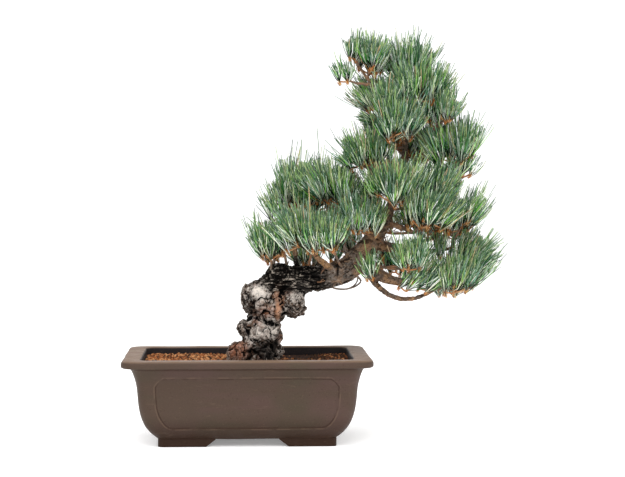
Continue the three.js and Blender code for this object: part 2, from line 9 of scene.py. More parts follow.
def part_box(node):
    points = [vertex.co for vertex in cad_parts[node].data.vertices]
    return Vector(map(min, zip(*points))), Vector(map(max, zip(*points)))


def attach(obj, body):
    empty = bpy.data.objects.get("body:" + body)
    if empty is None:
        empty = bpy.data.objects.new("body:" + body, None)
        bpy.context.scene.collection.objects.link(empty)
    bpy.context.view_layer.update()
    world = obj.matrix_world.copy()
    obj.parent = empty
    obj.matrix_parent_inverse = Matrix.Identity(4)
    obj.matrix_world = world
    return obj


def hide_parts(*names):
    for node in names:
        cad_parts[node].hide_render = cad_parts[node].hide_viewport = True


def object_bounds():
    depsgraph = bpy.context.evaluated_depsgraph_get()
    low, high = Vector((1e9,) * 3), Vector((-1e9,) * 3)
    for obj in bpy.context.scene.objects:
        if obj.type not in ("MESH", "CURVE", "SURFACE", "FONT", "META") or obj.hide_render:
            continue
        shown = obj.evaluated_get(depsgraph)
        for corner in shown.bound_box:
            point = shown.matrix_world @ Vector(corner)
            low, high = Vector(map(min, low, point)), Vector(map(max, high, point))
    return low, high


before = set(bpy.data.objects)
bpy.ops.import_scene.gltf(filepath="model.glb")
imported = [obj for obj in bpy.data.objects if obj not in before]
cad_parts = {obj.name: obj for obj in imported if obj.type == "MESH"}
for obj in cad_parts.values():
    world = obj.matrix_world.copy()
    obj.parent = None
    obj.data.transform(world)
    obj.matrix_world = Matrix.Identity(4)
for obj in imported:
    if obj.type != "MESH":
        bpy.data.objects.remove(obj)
cad_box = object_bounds()
bpy.ops.object.select_all(action="DESELECT")

# The view
# A long lens two metres in front of the pot's long side, just left of its middle. It stands as
# high as the crown's lowest layer, so the near and the far edge of the rim both show.
RIM_HEIGHT = 0.097
LENS_PIXELS = 1833.5
IMAGE_WIDTH = 625
SENSOR_WIDTH = 36
FARTHEST_SEEN = 50
CAMERA_PLACE = (-11.0, -2121.3, 298.8)
CAMERA_TURN = math.radians(2.347)
CAMERA_DROP = math.radians(1.858)

pot_low, pot_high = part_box("pot")
pot_middle = (pot_low + pot_high) / 2


def at(x, y, z):
    """A point in millimetres from the pot's middle, with its rim at 97 mm, as a place in metres."""
    up = pot_high.z - RIM_HEIGHT
    return Vector((pot_middle.x + x / 1000, pot_middle.y + y / 1000, up + z / 1000))


bpy.ops.object.camera_add(
    location=at(*CAMERA_PLACE),
    rotation=(math.pi / 2 - CAMERA_DROP, 0, -CAMERA_TURN),
)
camera = bpy.context.object
camera.data.sensor_width = SENSOR_WIDTH
camera.data.lens = LENS_PIXELS / IMAGE_WIDTH * SENSOR_WIDTH
camera.data.clip_end = FARTHEST_SEEN
bpy.context.scene.camera = camera

# The floor and the light
# A wide pale sweep of card, flat under the pot and folded up far behind it, in a white room with
# one large soft lamp at the upper left and a weaker one on the right. Sizes are in metres.
SWEEP_HALF_WIDTH = 6.0
SWEEP_FRONT = -4.0
SWEEP_BACK = 5.6
SWEEP_TOP = 5.0
CARD_WHITE = 0.95
CARD_GLOW = 0.24
ROOM_LIGHT = 0.95
NEAR_ENOUGH = 0.001


def linear(red, green, blue):
    """A screen colour, 0 to 255, as a shader's colour."""
    steps = [c / 255 for c in (red, green, blue)]
    return (*[c / 12.92 if c <= 0.04045 else ((c + 0.055) / 1.055) ** 2.4 for c in steps], 1.0)


def new_material(name, colour, roughness, specular=0.15):
    """A material with its Principled shader, ready for more nodes."""
    made = bpy.data.materials.new(name)
    made.use_nodes = True
    shader = made.node_tree.nodes["Principled BSDF"]
    shader.inputs["Base Color"].default_value = colour
    shader.inputs["Roughness"].default_value = roughness
    shader.inputs["Specular IOR Level"].default_value = specular
    return made, made.node_tree, shader


def select_edges(piece, chosen):
    """Selects, in edit mode, the edges that a test picks out and no others."""
    bpy.ops.mesh.select_all(action="DESELECT")
    mesh = bmesh.from_edit_mesh(piece.data)
    for edge in filter(chosen, mesh.edges):
        edge.select_set(True)
    bmesh.update_edit_mesh(piece.data)


def at_the_back(edge):
    return all(v.co.y > SWEEP_BACK - NEAR_ENOUGH for v in edge.verts)


bpy.ops.mesh.primitive_plane_add(size=1)
sweep = bpy.context.object
sweep.name = "studio_sweep"
sweep.scale = (2 * SWEEP_HALF_WIDTH, SWEEP_BACK - SWEEP_FRONT, 1)
sweep.location = (pot_middle.x, (SWEEP_BACK + SWEEP_FRONT) / 2, 0)
bpy.ops.object.transform_apply(location=True, rotation=True, scale=True)
bpy.ops.object.mode_set(mode="EDIT")
select_edges(sweep, at_the_back)
bpy.ops.mesh.extrude_region_move(TRANSFORM_OT_translate={"value": (0, 0, SWEEP_TOP)})
bpy.ops.object.mode_set(mode="OBJECT")
bpy.ops.object.shade_smooth()
card, _, shader = new_material("pale_card", (CARD_WHITE, CARD_WHITE, CARD_WHITE, 1), 0.9)
shader.inputs["Emission Color"].default_value = (1, 1, 1, 1)
shader.inputs["Emission Strength"].default_value = CARD_GLOW
sweep.data.materials.append(card)

room = bpy.data.worlds.new("white_room")
bpy.context.scene.world = room
room.use_nodes = True
white_walls = room.node_tree.nodes["Background"]
white_walls.inputs["Color"].default_value = (1, 1, 1, 1)
white_walls.inputs["Strength"].default_value = ROOM_LIGHT


def soft_lamp(name, place, size, power):
    """A square lamp in metres and watts, turned towards the plant."""
    bpy.ops.object.light_add(type="AREA", location=place)
    lamp = bpy.context.object
    lamp.name = name
    lamp.data.size = size
    lamp.data.energy = power
    aim = at(80, 0, 200) - Vector(place)
    lamp.rotation_euler = aim.to_track_quat("-Z", "Y").to_euler()


soft_lamp("key_lamp", (-0.6, -1.5, 2.8), 3.2, 84)
soft_lamp("right_lamp", (2.2, -1.4, 1.4), 1.6, 24)
bpy.context.scene.view_settings.view_transform = "Standard"

# The pot
# A rectangular bonsai pot of brown unglazed clay, with a broad rim, walls that curl under, a
# sunk panel on each side and four corner feet. It is drawn up ring by ring, in millimetres.
POT_HALF = (141.0, 100.0)
SIDE_STEP = POT_HALF[0] - POT_HALF[1]
POT_CORNER = 10.0
BODY_TOP = 84.0
BODY_BOTTOM = 5.7
BODY_HALF = 125.0
LEAN_IN, CURL_IN, CURL_POWER = 4.2, 20, 4.8
FLARE_FROM, FLARE_OUT, FLARE_POWER = 58.0, 4.2, 2.2
POT_FLOOR = 16.0
PANEL_LOW = 19.4
PANEL_HIGH = 76.0
LONG_PANEL = (102.5, 89)
SHORT_PANEL = (63, 51)
CORNER_CUT = 9.0
CUTS_ALONG_X = 170
CUTS_ALONG_Y = 112
LONG_RUN = 0.06
A_HAIR = 1e-5
FAR_AWAY = 1e9


def body_half_width(z):
    """The wall's half width: nearly upright, flared under the rim, curled in to the feet."""
    down = min(1, max(0, (BODY_TOP - z) / (BODY_TOP - BODY_BOTTOM)))
    up = min(1, max(0, (z - FLARE_FROM) / (BODY_TOP - FLARE_FROM)))
    curled = LEAN_IN * down + CURL_IN * down**CURL_POWER
    return BODY_HALF - curled + FLARE_OUT * up**FLARE_POWER


wall_levels = [5.7, 6.6, 7.8, 9.2, 10.8, 12.6, 14.6, 16.6]
wall_levels += [17.8 + 1.25 * i for i in range(48)] + [78.0, 80.0, 82.0, 84.0]
pot_rings = [(body_half_width(z), z) for z in wall_levels]
pot_rings += [(129.6, 85.0), (130.2, 86.0), (130.9, 86.7), (131.7, 87.1), (132.2, 87.9)]
pot_rings += [(133.0, 88.1), (136.0, 88.3), (138.8, 88.5), (140.3, 89.3)]
pot_rings += [(141.0, 90.6), (141.0, 93.2), (140.6, 94.9), (139.6, 96.1), (138.0, 96.8)]
pot_rings += [(135.4, 97.0), (122.4, 97.0), (120.7, 96.6), (119.8, 95.6), (119.5, 94.2)]
pot_rings += [(119.0, 88.0), (117.5, 60.0), (112.0, 30.0), (98.0, POT_FLOOR)]


def runs_along(edge, axis):
    """True for a ring's edge that is one of the long flat runs along an axis."""
    along = edge.verts[1].co - edge.verts[0].co
    return abs(along[axis]) > LONG_RUN and abs(along.z) < A_HAIR


bpy.ops.mesh.primitive_plane_add(size=1, location=at(0, 0, pot_rings[0][1]))
pot = bpy.context.object
pot.name = "clay_pot"
first_half = pot_rings[0][0]
pot.scale = (first_half / 500, (first_half - SIDE_STEP) / 500, 1)
bpy.ops.object.transform_apply(location=True, rotation=True, scale=True)
bpy.ops.object.mode_set(mode="EDIT")
bpy.ops.mesh.bevel(offset=POT_CORNER / 1000, offset_pct=0, segments=7, affect="VERTICES")
for (half, z), (next_half, next_z) in zip(pot_rings, pot_rings[1:]):
    bpy.ops.mesh.extrude_region_move(
        TRANSFORM_OT_translate={"value": (0, 0, (next_z - z) / 1000)}
    )
    bpy.ops.transform.resize(
        value=(next_half / half, (next_half - SIDE_STEP) / (half - SIDE_STEP), 1),
        center_override=at(0, 0, next_z),
    )
for axis, cuts in ((0, CUTS_ALONG_X), (1, CUTS_ALONG_Y)):
    select_edges(pot, lambda edge: runs_along(edge, axis))
    bpy.ops.mesh.subdivide(number_cuts=cuts, quadcorner="INNERVERT")
bpy.ops.mesh.select_all(action="SELECT")
bpy.ops.mesh.normals_make_consistent(inside=False)
bpy.ops.object.mode_set(mode="OBJECT")


def panel_outline(half_top, half_bottom):
    """A sunk panel: its upper corners cut off, and its sides curled in to the bottom."""
    tall = PANEL_HIGH - PANEL_LOW
    right = [
        (half_top - CORNER_CUT, PANEL_HIGH),
        (half_top - 0.35 * CORNER_CUT, PANEL_HIGH - 0.5 * CORNER_CUT),
        (half_top, PANEL_HIGH - CORNER_CUT),
        (half_top - 0.4, PANEL_LOW + 0.62 * tall),
        (half_top - 1.5, PANEL_LOW + 0.42 * tall),
        (half_top - 4.0, PANEL_LOW + 0.27 * tall),
        ((half_top + half_bottom) / 2, PANEL_LOW + 0.17 * tall),
        (half_bottom + 3, PANEL_LOW + 4.5),
        (half_bottom - 1, PANEL_LOW + 1.2),
        (half_bottom - 5, PANEL_LOW),
    ]
    left = [(-x, z) for x, z in reversed(right)]
    return np.array(right + left)


def depth_in_outline(points, outline):
    """How far each point lies inside an outline, in millimetres, and below 0 outside it."""
    nearest = np.full(len(points), FAR_AWAY)
    inside = np.zeros(len(points), bool)
    for a, b in zip(outline, np.roll(outline, -1, axis=0)):
        along = b - a
        share = np.clip(((points - a) @ along) / (along @ along), 0, 1)
        nearest = np.minimum(nearest, np.linalg.norm(points - a - share[:, None] * along, axis=1))
        crosses = (a[1] > points[:, 1]) != (b[1] > points[:, 1])
        reach = a[0] + (points[:, 1] - a[1]) / (along[1] + 1e-12) * along[0]
        inside ^= crosses & (points[:, 0] < reach)
    return np.where(inside, nearest, -nearest)


def smooth_step(x):
    """From 0 to 1 with level ends, while x goes from 0 to 1."""
    x = np.clip(x, 0, 1)
    return x * x * (3 - 2 * x)


def vertex_places(piece):
    """A piece's vertices, in millimetres from the pot's middle."""
    co = np.zeros(len(piece.data.vertices) * 3)
    piece.data.vertices.foreach_get("co", co)
    return (co.reshape(-1, 3) - np.array(at(0, 0, 0))) * 1000


def set_vertex_places(piece, places):
    co = places / 1000 + np.array(at(0, 0, 0))
    piece.data.vertices.foreach_set("co", co.ravel())
    piece.data.update()


DRIFT_APART = ((9.3, -1.5, -7.9), (0.0, 0.0, 0.0), (-6.2, -0.1, 5.1))


def drift(point):
    """A smooth noise in three directions, each from its own part of the same noise."""
    return Vector([noise.noise(point + Vector(apart)) for apart in DRIFT_APART])


def paint(piece, **masks):
    """Numbers for each vertex that the piece's material reads by their names."""
    for name, values in masks.items():
        layer = piece.data.attributes.new(name, "FLOAT", "POINT")
        layer.data.foreach_set("value", np.asarray(values, np.float32))


# The panels are sunk, with a low raised line round them, and hand work leaves the walls uneven.
PANEL_DEPTH = 1.25
PANEL_EDGE = 1.5
RAISED_LINE = 0.3
RAISED_AT, RAISED_WIDTH = 1.4, 0.9
OFF_PANEL = 9.0
WALL_REACH = 1.5
PANELS_BELOW = 80
INSIDE_HALF = 120.1
INSIDE_FROM, INSIDE_TO = 28, 96.2
THINNEST_WALL = 4
UNEVEN = ((0.5, 0.021), (0.08, 0.09))
places = vertex_places(pot)
half_here = np.array([body_half_width(z) for z in places[:, 2]])
panel_line = np.full(len(places), -OFF_PANEL)
# The inner walls are marked here for the clay's material, which darkens them as painted shade.
inside = (places[:, 2] > INSIDE_FROM) & (places[:, 2] < INSIDE_TO)
for across, axis, narrower, outline in (
    (1, 0, SIDE_STEP, panel_outline(*LONG_PANEL)),
    (0, 1, 0, panel_outline(*SHORT_PANEL)),
):
    wall = half_here - narrower
    out = np.abs(places[:, across])
    inside &= (out < INSIDE_HALF - narrower) & (wall - out > THINNEST_WALL)
    on_wall = (np.abs(out - wall) < WALL_REACH) & (places[:, 2] < PANELS_BELOW)
    depth = depth_in_outline(places[on_wall][:, [axis, 2]], outline)
    sink = PANEL_DEPTH * smooth_step(depth / PANEL_EDGE + 0.5)
    sink -= RAISED_LINE * np.exp(-(((depth + RAISED_AT) / RAISED_WIDTH) ** 2))
    places[on_wall, across] -= np.sign(places[on_wall, across]) * sink
    panel_line[on_wall] = depth
places += sum(
    much * np.array([drift(Vector(p) * scale) for p in places]) for much, scale in UNEVEN
)
set_vertex_places(pot, places)
paint(pot, panel_line=np.clip(panel_line, -OFF_PANEL, OFF_PANEL), inside=inside)

# The feet are one L-shaped piece under each corner, sloped at both ends.
FOOT_HALF = (101.0, 60.0)
FOOT_WALL = 13.0
FOOT_TOP = 7.0
FOOT_SLOPE = 11.0
FOOT_ENDS = (46.5, 30.0)
FOOT_ROUNDING = 0.006
FOOT_BEVEL = 0.0011
SLOPE_TOP = BODY_BOTTOM - 0.4
SAME_PLACE = 1e-4

foot_low = (pot_low.z - at(0, 0, 0).z) * 1000
foot_middle = [FOOT_WALL / 2 - half for half in FOOT_HALF]
bpy.ops.mesh.primitive_cube_add(
    size=1,
    location=at(*foot_middle, (foot_low + FOOT_TOP) / 2),
    scale=(FOOT_WALL / 1000, FOOT_WALL / 1000, (FOOT_TOP - foot_low) / 1000),
)
foot = bpy.context.object
foot.name = "pot_foot"
bpy.ops.object.transform_apply(location=True, rotation=True, scale=True)
bpy.ops.object.mode_set(mode="EDIT")
for axis in (0, 1):
    inner_side = at(FOOT_WALL - FOOT_HALF[0], FOOT_WALL - FOOT_HALF[1], 0)[axis]
    bpy.ops.mesh.select_mode(type="FACE")
    bpy.ops.mesh.select_all(action="DESELECT")
    foot_mesh = bmesh.from_edit_mesh(foot.data)
    for face in foot_mesh.faces:
        face.select_set(all(abs(v.co[axis] - inner_side) < SAME_PLACE for v in face.verts))
    bmesh.update_edit_mesh(foot.data)
    leg = [0, 0, 0]
    leg[axis] = (FOOT_HALF[axis] - FOOT_WALL - FOOT_ENDS[axis]) / 1000
    bpy.ops.mesh.extrude_region_move(TRANSFORM_OT_translate={"value": leg})
    slope = [0, 0, 0]
    slope[axis] = FOOT_SLOPE / 1000
    bpy.ops.mesh.extrude_region_move(TRANSFORM_OT_translate={"value": slope})
    foot_mesh = bmesh.from_edit_mesh(foot.data)
    end = max(v.co[axis] for v in foot_mesh.verts)
    for v in foot_mesh.verts:
        if abs(v.co[axis] - end) < A_HAIR and v.co.z < at(0, 0, 0).z:
            v.co.z = at(0, 0, SLOPE_TOP).z
    bmesh.update_edit_mesh(foot.data)
corner = at(-FOOT_HALF[0], -FOOT_HALF[1], 0)
select_edges(foot, lambda edge: all((v.co - corner).xy.length < SAME_PLACE for v in edge.verts))
bpy.ops.mesh.bevel(offset=FOOT_ROUNDING, offset_pct=0, segments=6, affect="EDGES")
bpy.ops.object.mode_set(mode="OBJECT")
bpy.context.scene.cursor.location = at(0, 0, 0)
bpy.ops.object.origin_set(type="ORIGIN_CURSOR")
across_pot = foot.modifiers.new("four_corners", "MIRROR")
across_pot.use_axis = (True, True, False)
soft_edges = foot.modifiers.new("soft_edges", "BEVEL")
soft_edges.width = FOOT_BEVEL
soft_edges.segments = 3
bpy.ops.object.modifier_apply(modifier="four_corners")
bpy.ops.object.modifier_apply(modifier="soft_edges")
bpy.ops.object.transform_apply(location=True, rotation=True, scale=True)
bpy.ops.object.mode_set(mode="EDIT")
bpy.ops.mesh.select_all(action="SELECT")
bpy.ops.mesh.normals_make_consistent(inside=False)
bpy.ops.object.mode_set(mode="OBJECT")

# Two drainage holes go through the floor, under the soil.
DRAIN_RADIUS = 9.0
DRAIN_PLACE = 58.0
DRAIN_MIDDLE = 12.0
DRAIN_LENGTH = 30.0
for side in (-1, 1):
    bpy.ops.mesh.primitive_cylinder_add(
        vertices=40,
        radius=DRAIN_RADIUS / 1000,
        depth=DRAIN_LENGTH / 1000,
        location=at(side * DRAIN_PLACE, 0, DRAIN_MIDDLE),
    )
    drill = bpy.context.object
    bored = pot.modifiers.new("drain", "BOOLEAN")
    bored.object = drill
    bored.solver = "EXACT"
    bpy.context.view_layer.objects.active = pot
    bpy.ops.object.modifier_apply(modifier="drain")
    bpy.data.objects.remove(drill)
bpy.ops.object.select_all(action="DESELECT")
foot.select_set(True)
pot.select_set(True)
bpy.context.view_layer.objects.active = pot
bpy.ops.object.join()
bpy.ops.object.shade_smooth_by_angle(angle=math.radians(38))


def wire(tree, *wires):
    """Joins nodes: each wire is a node, its output, another node and its input."""
    for source, output, target, taken in wires:
        tree.links.new(source.outputs[output], target.inputs[taken])


def new_group(name, given, **taken):
    """A shader node group whose sockets are taken in and given back by name and kind."""
    group = bpy.data.node_groups.new(name, "ShaderNodeTree")
    for socket, kind in taken.items():
        group.interface.new_socket(socket, in_out="INPUT", socket_type="NodeSocket" + kind)
    group.interface.new_socket(given[0], in_out="OUTPUT", socket_type="NodeSocket" + given[1])
    return group, group.nodes.new("NodeGroupInput"), group.nodes.new("NodeGroupOutput")


def mottling_group():
    """A noise over the surface in object coordinates, as a mask that climbs from Low to High."""
    numbers = dict.fromkeys(("Detail", "Coarseness", "Swirl", "Low", "High"), "Float")
    group, taken, given = new_group("mottling", ("Mask", "Float"), Scale="Vector", **numbers)
    place = group.nodes.new("ShaderNodeTexCoord")
    scaled = group.nodes.new("ShaderNodeVectorMath")
    scaled.operation = "MULTIPLY"
    grain = group.nodes.new("ShaderNodeTexNoise")
    grain.inputs["Scale"].default_value = 1.0
    band = group.nodes.new("ShaderNodeMapRange")
    band.interpolation_type = "SMOOTHSTEP"
    wire(
        group,
        (place, "Object", scaled, 0),
        (taken, "Scale", scaled, 1),
        (scaled, "Vector", grain, "Vector"),
        (taken, "Detail", grain, "Detail"),
        (taken, "Coarseness", grain, "Roughness"),
        (taken, "Swirl", grain, "Distortion"),
        (grain, "Fac", band, "Value"),
        (taken, "Low", band, "From Min"),
        (taken, "High", band, "From Max"),
        (band, "Result", given, "Mask"),
    )
    return group


def layer_group():
    """One colour laid over another where a mask says, by an amount."""
    sockets = {"Under": "Color", "Over": "Color", "Mask": "Float", "Amount": "Float"}
    group, taken, given = new_group("colour_layer", ("Colour", "Color"), **sockets)
    share = group.nodes.new("ShaderNodeMath")
    share.operation = "MULTIPLY"
    mixed = group.nodes.new("ShaderNodeMix")
    mixed.data_type = "RGBA"
    wire(
        group,
        (taken, "Mask", share, 0),
        (taken, "Amount", share, 1),
        (share, "Value", mixed, 0),
        (taken, "Under", mixed, 6),
        (taken, "Over", mixed, 7),
        (mixed, 2, given, "Colour"),
    )
    return group


MOTTLING = mottling_group()
COLOUR_LAYER = layer_group()


def mottled(tree, scale, low, high, detail=3.0, coarse=0.55, swirl=0.0):
    """The mottling group in a material, with its scale in patches to the metre."""
    placed = tree.nodes.new("ShaderNodeGroup")
    placed.node_tree = MOTTLING
    placed.inputs["Scale"].default_value = scale if isinstance(scale, tuple) else (scale,) * 3
    placed.inputs["Detail"].default_value = detail
    placed.inputs["Coarseness"].default_value = coarse
    placed.inputs["Swirl"].default_value = swirl
    placed.inputs["Low"].default_value = low
    placed.inputs["High"].default_value = high
    return placed.outputs["Mask"]


def layered(tree, tone, *layers):
    """Colours laid over a tone one by one, each with its mask and, if it isn't 1, its amount.

    A colour or tone is a tuple or another node's socket.
    """
    for over, mask, *amount in layers:
        placed = tree.nodes.new("ShaderNodeGroup")
        placed.node_tree = COLOUR_LAYER
        for name, colour in (("Under", tone), ("Over", over)):
            if isinstance(colour, tuple):
                placed.inputs[name].default_value = colour
            else:
                tree.links.new(colour, placed.inputs[name])
        placed.inputs["Amount"].default_value = amount[0] if amount else 1.0
        tree.links.new(mask, placed.inputs["Mask"])
        tone = placed.outputs["Colour"]
    return tone


def climbing(tree, value, low, high):
    """A mask that climbs from 0 at low to 1 at high."""
    made = tree.nodes.new("ShaderNodeMapRange")
    made.interpolation_type = "SMOOTHSTEP"
    made.inputs["From Min"].default_value = low
    made.inputs["From Max"].default_value = high
    tree.links.new(value, made.inputs["Value"])
    return made.outputs["Result"]


def both(tree, first, second):
    """A mask that is high only where two masks are."""
    made = tree.nodes.new("ShaderNodeMath")
    made.operation = "MULTIPLY"
    tree.links.new(first, made.inputs[0])
    tree.links.new(second, made.inputs[1])
    return made.outputs["Value"]


def band_of(tree, value, rise_from, rise_to, fall_from, fall_to):
    """A mask that climbs while a value passes two numbers, and falls again between two more."""
    rising = climbing(tree, value, rise_from, rise_to)
    return both(tree, rising, climbing(tree, value, fall_to, fall_from))


def roughened(tree, shader, height, depth):
    """A relief on the surface, in metres, from a height mask."""
    relief = tree.nodes.new("ShaderNodeBump")
    relief.inputs["Distance"].default_value = depth
    relief.inputs["Strength"].default_value = 1.0
    tree.links.new(height, relief.inputs["Height"])
    tree.links.new(relief.outputs["Normal"], shader.inputs["Normal"])


def painted(tree, name):
    """A mask that was painted on the piece's vertices."""
    made = tree.nodes.new("ShaderNodeAttribute")
    made.attribute_name = name
    return made.outputs["Fac"]


def level(z):
    return at(0, 0, z).z


CLAY_BROWN = linear(70, 56, 47)
CLAY_OLIVE = linear(66, 56, 45)
CLAY_PLUM = linear(74, 57, 51)
# The rim's colour also serves as painted highlight on the rim's top and round the panels.
CLAY_RIM = linear(112, 91, 75)
# The dark colour also serves as painted shade: under the lip, in the panels' creases and low on the
# body and feet.
CLAY_DARK = linear(45, 28, 18)
# Painted shade for the inner walls.
CLAY_INSIDE = linear(30, 26, 28)
SHEEN_RANGE = (0.44, 0.6)
clay, tree, shader = new_material("unglazed_clay", CLAY_BROWN, 0.6, specular=0.12)
place_on_pot = tree.nodes.new("ShaderNodeTexCoord")
split_place = tree.nodes.new("ShaderNodeSeparateXYZ")
wire(tree, (place_on_pot, "Object", split_place, "Vector"))
height = split_place.outputs["Z"]
line = painted(tree, "panel_line")
# Painted shadow: a dark band on the wall just under the lip, where the lip's shadow falls.
lip_shadow = band_of(tree, height, level(84.6), level(87.6), level(88.3), level(88.9))
# Painted shade: a dark, broken line in the crease at each sunk panel's edge.
panel_edge_shade = both(tree, band_of(tree, line, -0.9, -0.1, 0.4, 1.3), mottled(tree, 42.0, 0.34, 0.5))
# Painted highlight: a pale, broken line on the raised line round each sunk panel.
broken_highlight = both(tree, band_of(tree, line, -2.6, -1.7, -1.2, -0.7), mottled(tree, 61.0, 0.4, 0.55))
body_tone = layered(
    tree,
    CLAY_OLIVE,
    (CLAY_PLUM, mottled(tree, 13.0, 0.4, 0.62, detail=2)),
    (CLAY_BROWN, mottled(tree, (9.0, 9.0, 55.0), 0.4, 0.62, detail=4)),
    # Painted highlight: the rim's top is lighter, as where the light falls from above.
    (CLAY_RIM, climbing(tree, height, level(94.6), level(97.1))),
    # Painted shade: darker towards the bottom and on the feet.
    (CLAY_DARK, climbing(tree, height, level(38), level(4)), 0.9),
    # Painted shadow under the lip.
    (CLAY_DARK, lip_shadow, 0.75),
    # Painted shade in the panels' creases.
    (CLAY_DARK, panel_edge_shade, 0.62),
    # Painted highlight round the panels.
    (CLAY_RIM, broken_highlight, 0.28),
    # Painted shade on the inner walls.
    (CLAY_INSIDE, painted(tree, "inside"), 0.94),
    (CLAY_RIM, mottled(tree, (26.0, 26.0, 150.0), 0.6, 0.7, detail=5, coarse=0.6, swirl=0.6), 0.13),
    (CLAY_RIM, mottled(tree, 900.0, 0.6, 0.72, detail=2), 0.2),
    (CLAY_DARK, mottled(tree, 520.0, 0.62, 0.7), 0.35),
)
tree.links.new(body_tone, shader.inputs["Base Color"])
roughened(tree, shader, mottled(tree, 1400.0, 0.2, 0.8, detail=4), 0.0001)
sheen = tree.nodes.new("ShaderNodeMapRange")
sheen.inputs["To Min"].default_value, sheen.inputs["To Max"].default_value = SHEEN_RANGE
tree.links.new(mottled(tree, 60.0, 0.3, 0.7), sheen.inputs["Value"])
tree.links.new(sheen.outputs["Result"], shader.inputs["Roughness"])
pot.data.materials.clear()
pot.data.materials.append(clay)
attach(pot, "root")
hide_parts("pot")

# The soil
# Baked clay granules two to four millimetres across, orange where they are dry, heaped a little
# at both ends, and darker right of the trunk, where the soil is damp and lies in painted shade.
# The body under them is the imported solid, and the grains lie on it in two layers.
GRAIN_GAP = 3.1
GRAIN_SIZE = (0.95, 2.1)
SECOND_LAYER_SHARE = 0.55
SECOND_LAYER_LIFT = (0.6, 1.8)
GRAIN_SINK = 0.2
CLEAR_OF_TRUNK = 17
# The darker grains lie round this middle: partly damp soil, partly painted shade under the rim.
DAMP_AND_SHADE_MIDDLE, DAMP_AND_SHADE_REACH = 82, 50
SOIL_LEVEL = 86.6
SOIL_HALF = (117.4, 76.4)
FOOT_OF_TRUNK = (12.0, 0.0)


def soil_height(x, y):
    """The soil's top, heaped at both ends and low on the right of the trunk."""

    def bump(cx, cy, sx, sy):
        return math.exp(-(((x - cx) / sx) ** 2) - ((y - cy) / sy) ** 2)

    away = 1 - bump(FOOT_OF_TRUNK[0], FOOT_OF_TRUNK[1], 44, 40)
    left = 3.2 * bump(-76, 20, 52, 70)
    right = 2.2 * bump(108, 20, 24, 60)
    hollow = 2.8 * bump(62, 30, 30, 50)
    return SOIL_LEVEL + (left + right - hollow) * max(0, away) ** 1.5


GRAIN_TONES = {
    "grain_orange": linear(146, 86, 48),
    "grain_pale": linear(184, 132, 88),
    "grain_brown": linear(88, 48, 30),
    "grain_dark": linear(34, 22, 17),
}
GRAIN_SHARES_DRY_AND_LIT = np.array((0.42, 0.24, 0.2, 0.14))
GRAIN_SHARES_DAMP_AND_SHADED = np.array((0.03, 0.01, 0.2, 0.76))
grain_random = np.random.default_rng(11)
bpy.ops.mesh.primitive_ico_sphere_add(subdivisions=1, radius=1)
grain = bpy.context.object
grain_corners = np.array([v.co for v in grain.data.vertices])
grain_faces = np.array([p.vertices[:] for p in grain.data.polygons])
bpy.data.objects.remove(grain)
grain_places = []
for x in np.arange(-SOIL_HALF[0], SOIL_HALF[0], GRAIN_GAP):
    for y in np.arange(-SOIL_HALF[1], SOIL_HALF[1], GRAIN_GAP):
        for layer in (0, 1):
            if layer == 1 and grain_random.random() > SECOND_LAYER_SHARE:
                continue
            px, py = np.array((x, y)) + grain_random.uniform(0, GRAIN_GAP, 2)
            if abs(px) > SOIL_HALF[0] or abs(py) > SOIL_HALF[1]:
                continue
            if math.hypot(px - FOOT_OF_TRUNK[0], py - FOOT_OF_TRUNK[1]) < CLEAR_OF_TRUNK:
                continue
            lift = layer * grain_random.uniform(*SECOND_LAYER_LIFT) - GRAIN_SINK
            grain_places.append((px, py, soil_height(px, py) + lift))
grain_corner_list = []
grain_tone_list = []
for place in grain_places:
    size = grain_random.uniform(*GRAIN_SIZE) * grain_random.uniform(0.75, 1.15, 3)
    turn, _ = np.linalg.qr(grain_random.normal(size=(3, 3)))
    corners = grain_corners * grain_random.uniform(0.82, 1.15, (len(grain_corners), 1)) * size
    grain_corner_list.append(corners @ turn.T * np.sign(np.linalg.det(turn)) + place)
    # Partly damp soil, partly painted shade: grains right of the trunk are dealt darker tones.
    damp_and_shade = math.exp(-(((place[0] - DAMP_AND_SHADE_MIDDLE) / DAMP_AND_SHADE_REACH) ** 2)) * grain_random.uniform(0.75, 1)
    shares = (1 - damp_and_shade) * GRAIN_SHARES_DRY_AND_LIT + damp_and_shade * GRAIN_SHARES_DAMP_AND_SHADED
    grain_tone_list.append(grain_random.choice(len(GRAIN_TONES), p=shares))


def joined_piece(name, corner_lists, face_list):
    """Many small shapes as one mesh: corner arrays in millimetres, and the faces of each."""
    counts = [len(c) for c in corner_lists]
    starts = np.concatenate(([0], np.cumsum(counts)[:-1]))
    faces = np.concatenate([f + s for f, s in zip(face_list, starts)])
    mesh = bpy.data.meshes.new(name)
    corners = np.concatenate(corner_lists) / 1000 + np.array(at(0, 0, 0))
    mesh.vertices.add(len(corners))
    mesh.vertices.foreach_set("co", corners.ravel())
    mesh.loops.add(faces.size)
    mesh.loops.foreach_set("vertex_index", faces.ravel().astype(np.int32))
    mesh.polygons.add(len(faces))
    mesh.polygons.foreach_set("loop_start", np.arange(0, faces.size, 3, dtype=np.int32))
    mesh.update()
    mesh.validate()
    piece = bpy.data.objects.new(name, mesh)
    bpy.context.scene.collection.objects.link(piece)
    return piece


grains = joined_piece("soil_grains", grain_corner_list, [grain_faces] * len(grain_corner_list))
for name, colour in GRAIN_TONES.items():
    granule, tree, shader = new_material(name, colour, 0.92)
    dust = mottled(tree, 700.0, 0.35, 0.7)
    dusty = layered(tree, colour, (GRAIN_TONES["grain_pale"], dust, 0.2))
    tree.links.new(dusty, shader.inputs["Base Color"])
    roughened(tree, shader, mottled(tree, 2600.0, 0.2, 0.8), 0.00025)
    grains.data.materials.append(granule)
grain_tones = np.repeat(grain_tone_list, len(grain_faces)).astype(np.int32)
grains.data.polygons.foreach_set("material_index", grain_tones)
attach(grains, "root")

